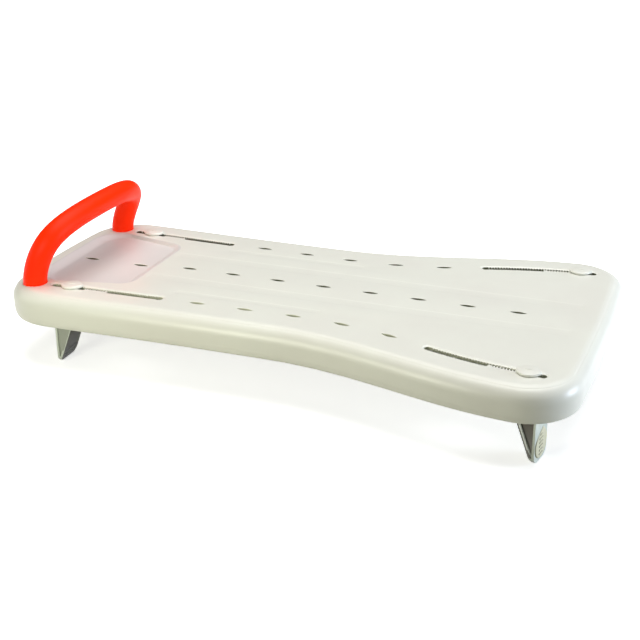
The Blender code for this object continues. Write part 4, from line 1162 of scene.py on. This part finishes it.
class BATHBOARD_OT_stage(Operator):
    """Sets up the camera, the lamps, the floor and the world"""
    bl_idname = "bath_board.stage"
    bl_label = "Stage"

    # Place, size and colour of each lamp
    lamps = {"key": ((0.1, 0.3, 1.5), 1.9, "#FFFFFF"),
             "top": ((0.1, 0.0, 1.9), 1.4, "#FFFCFA"),
             "front": ((-0.3, -0.7, 0.25), 0.3, "#FFFFEC"),
             "middle": ((-0.1, -0.65, 0.2), 0.3, "#FFFFEC"),
             "corner": ((1.5, -0.5, 0.2), 0.5, "#F1F8FF"),
             "left": ((-1.2, -0.3, 0.3), 0.6, "#FFFFF4"),
             "side": ((1.8, 0.4, 0.28), 0.8, "#E2EEFF")}
    lamp_target = Vector((0.0, 0, 0.08))

    def execute(self, context):
        stage = settings().stage
        context.scene.camera = self.camera(stage)
        for name, (place, size, code) in self.lamps.items():
            lamp = bpy.data.lights.new(name + "_lamp", "AREA")
            lamp.shape = "DISK"
            lamp.size = size
            lamp.energy = getattr(stage, name + "_power")
            lamp.color = linear(code)[:3]
            turn = (self.lamp_target - Vector(place)).to_track_quat("-Z", "Y")
            placed(name + "_lamp", lamp).matrix_world = (
                Matrix.Translation(place) @ turn.to_matrix().to_4x4())

        half, level = 30, -0.0005
        sheet = bpy.data.meshes.new("floor")
        sheet.from_pydata([(-half, -half, level), (half, -half, level), (half, half, level),
                           (-half, half, level)], [], [(0, 1, 2, 3)])
        sheet.materials.append(self.floor_material())
        placed("floor", sheet)
        context.scene.world = self.world()
        context.scene.view_settings.view_transform = "Standard"
        return {"FINISHED"}

    @staticmethod
    def camera(stage):
        """A camera that looks at its target from the photograph's side and height."""
        azimuth, elevation = np.radians((stage.azimuth, stage.elevation))
        back = np.array((np.sin(azimuth) * np.cos(elevation), -np.cos(azimuth) * np.cos(elevation),
                         np.sin(elevation)))
        right = np.array((np.cos(azimuth), np.sin(azimuth), 0))
        turn = np.stack((right, np.cross(back, right), back), -1)
        lens = bpy.data.cameras.new("camera")
        lens.sensor_width = 36
        lens.lens = stage.lens
        lens.shift_x = -0.0719
        lens.shift_y = -0.0594
        camera = placed("camera", lens)
        target = np.array((0.05836, 0.02934, deck_top))
        camera.matrix_world = (Matrix.Translation(target + back * stage.distance)
                               @ Matrix(turn.tolist()).to_4x4())
        return camera

    @staticmethod
    def floor_material():
        """Matt white studio floor: it looks white to the camera, to shiny and to clear surfaces
        and keeps the object's soft shadow, while the light that it throws back up is that of a
        duller, warm grey sheet."""
        material = bpy.data.materials.new("studio_floor")
        tree = fresh_tree(material)
        place = add_node(tree, "ShaderNodeTexCoord").outputs["Object"]
        away = add_node(tree, "ShaderNodeVectorMath", {0: place}, operation="LENGTH")
        strength = add_node(tree, "ShaderNodeMapRange",
                            {"Value": away.outputs["Value"], "From Min": 0.45, "From Max": 1.3,
                             "To Min": 0.66, "To Max": 1.0})
        white = linear("#FFFFFF")
        bright = add_node(tree, "ShaderNodeBsdfDiffuse", {"Color": white})
        glow = add_node(tree, "ShaderNodeEmission",
                        {"Color": white, "Strength": strength.outputs[0]})
        shown = add_node(tree, "ShaderNodeAddShader", {0: bright.outputs[0], 1: glow.outputs[0]})
        thrown = add_node(tree, "ShaderNodeBsdfDiffuse", {"Color": linear("#8C8B78")})
        path = add_node(tree, "ShaderNodeLightPath").outputs
        seen = path["Is Camera Ray"]
        for other in ("Is Glossy Ray", "Is Transmission Ray"):
            seen = add_node(tree, "ShaderNodeMath", {0: seen, 1: path[other]},
                            operation="MAXIMUM").outputs[0]
        mixed = add_node(tree, "ShaderNodeMixShader",
                         {0: seen, 1: thrown.outputs[0], 2: shown.outputs[0]})
        add_node(tree, "ShaderNodeOutputMaterial", {"Surface": mixed.outputs[0]})
        return material

    @staticmethod
    def world():
        """White to the camera, a soft grey light otherwise."""
        world = bpy.data.worlds.new("studio")
        tree = fresh_tree(world)
        light, white = (add_node(tree, "ShaderNodeBackground",
                                 {"Color": linear(code), "Strength": strength}).outputs[0]
                        for code, strength in (("#F4F6F6", 0.02), ("#FFFFFF", 1.0)))
        seen = add_node(tree, "ShaderNodeLightPath").outputs["Is Camera Ray"]
        mixed = add_node(tree, "ShaderNodeMixShader", {0: seen, 1: light, 2: white})
        add_node(tree, "ShaderNodeOutputWorld", {"Surface": mixed.outputs[0]})
        return world


class BATHBOARD_OT_deck(Operator):
    """Makes the deck's skin and its underside"""
    bl_idname = "bath_board.deck"
    bl_label = "Deck"

    def execute(self, context):
        deck = settings().deck
        finishes = [plastic(key) for key in ("deck", "well", "tray", "slot")]
        add_piece("deck_skin", deck_skin(deck), finishes, "board", "deck")
        add_piece("deck_underside", deck_underside(deck), finishes[:1], "board",
                  "deck")
        return {"FINISHED"}


class BATHBOARD_OT_handle(Operator):
    """Makes the grab handle with its bolts and washers"""
    bl_idname = "bath_board.handle"
    bl_label = "Grab handle"

    def execute(self, context):
        add_piece("handle_bar", handle_bar(settings().handle), [plastic("handle")], "board",
                  "handle")
        steel = [stainless_steel()]
        for name, side in sides.items():
            add_piece("bolt_" + name, bolt_shape(side), steel, "board",
                      "handle_bolt_" + name)
            add_piece("washer_" + name, washer_shape(side), steel, "board",
                      "handle_washer_" + name)
        return {"FINISHED"}


class BATHBOARD_OT_knobs(Operator):
    """Makes the four knob caps"""
    bl_idname = "bath_board.knobs"
    bl_label = "Knob caps"

    def execute(self, context):
        for track in each_track():
            add_piece("cap_" + track.suffix, knob_cap(track, settings().knob), [plastic("deck")],
                      track.suffix + "_latch", "knob_cap_" + track.suffix)
        return {"FINISHED"}


class BATHBOARD_OT_legs(Operator):
    """Makes the legs, their cover strips and their grip pads"""
    bl_idname = "bath_board.legs"
    bl_label = "Legs and pads"

    def execute(self, context):
        leg_finishes = [plastic(key) for key in ("leg", "inside", "well", "side", "band")]
        strip_finishes = [plastic(key) for key in ("deck", "well")]
        pad_finishes = [plastic(key) for key in ("pad", "edge")]
        for track in each_track():
            suffix, body = track.suffix, track.suffix + "_leg"
            leg = add_piece("bracket_" + suffix, folded_leg(track), leg_finishes, body,
                            "leg_" + suffix)
            bevel = leg.modifiers.new("softened edges", "BEVEL")
            bevel.width = 0.00035
            bevel.segments = 2
            bevel.limit_method = "ANGLE"
            bevel.angle_limit = np.radians(35)
            bevel.harden_normals = False
            add_piece("cover_strip_" + suffix, cover_strip(track, settings().deck.tooth_pitch),
                      strip_finishes, body, "leg_" + suffix)
            add_piece("grip_pad_" + suffix, grip_pad(track, settings().pad), pad_finishes, body,
                      "pad_" + suffix)
        return {"FINISHED"}


class BATHBOARD_OT_latches(Operator):
    """Gives the latch keys and springs their finishes"""
    bl_idname = "bath_board.latches"
    bl_label = "Latches"

    def execute(self, context):
        for track in each_track():
            dress_node("latch_key_" + track.suffix, plastic("latch"))
            dress_node("latch_spring_" + track.suffix, stainless_steel())
        return {"FINISHED"}


class BATHBOARD_PT_panel(Panel):
    """Lists the steps that build the board"""
    bl_idname = "BATHBOARD_PT_panel"
    bl_label = "Bath board"
    bl_space_type = "VIEW_3D"
    bl_region_type = "UI"
    bl_category = "Bath board"

    def draw(self, context):
        for step in operators:
            self.layout.operator(step.bl_idname)
        for group in BathBoardSettings.__annotations__:
            box = self.layout.box()
            values = getattr(context.scene.bath_board, group)
            for name in values.__annotations__:
                box.prop(values, name)


groups = (DeckShape, HandleShape, KnobShape, PadShape, Finishes, StageSettings, BathBoardSettings)
operators = (BATHBOARD_OT_stage, BATHBOARD_OT_deck, BATHBOARD_OT_handle, BATHBOARD_OT_knobs,
             BATHBOARD_OT_legs, BATHBOARD_OT_latches)


def register():
    """Registers the settings, the steps and the panel."""
    for item in (*groups, *operators, BATHBOARD_PT_panel):
        bpy.utils.register_class(item)
    bpy.types.Scene.bath_board = PointerProperty(type=BathBoardSettings)


def unregister():
    """Takes them out again."""
    del bpy.types.Scene.bath_board
    for item in reversed((*groups, *operators, BATHBOARD_PT_panel)):
        bpy.utils.unregister_class(item)


def main():
    """Builds the stage and every piece."""
    register()
    bpy.ops.bath_board.stage()
    bpy.ops.bath_board.deck()
    bpy.ops.bath_board.handle()
    bpy.ops.bath_board.knobs()
    bpy.ops.bath_board.legs()
    bpy.ops.bath_board.latches()


if __name__ == "__main__":
    main()
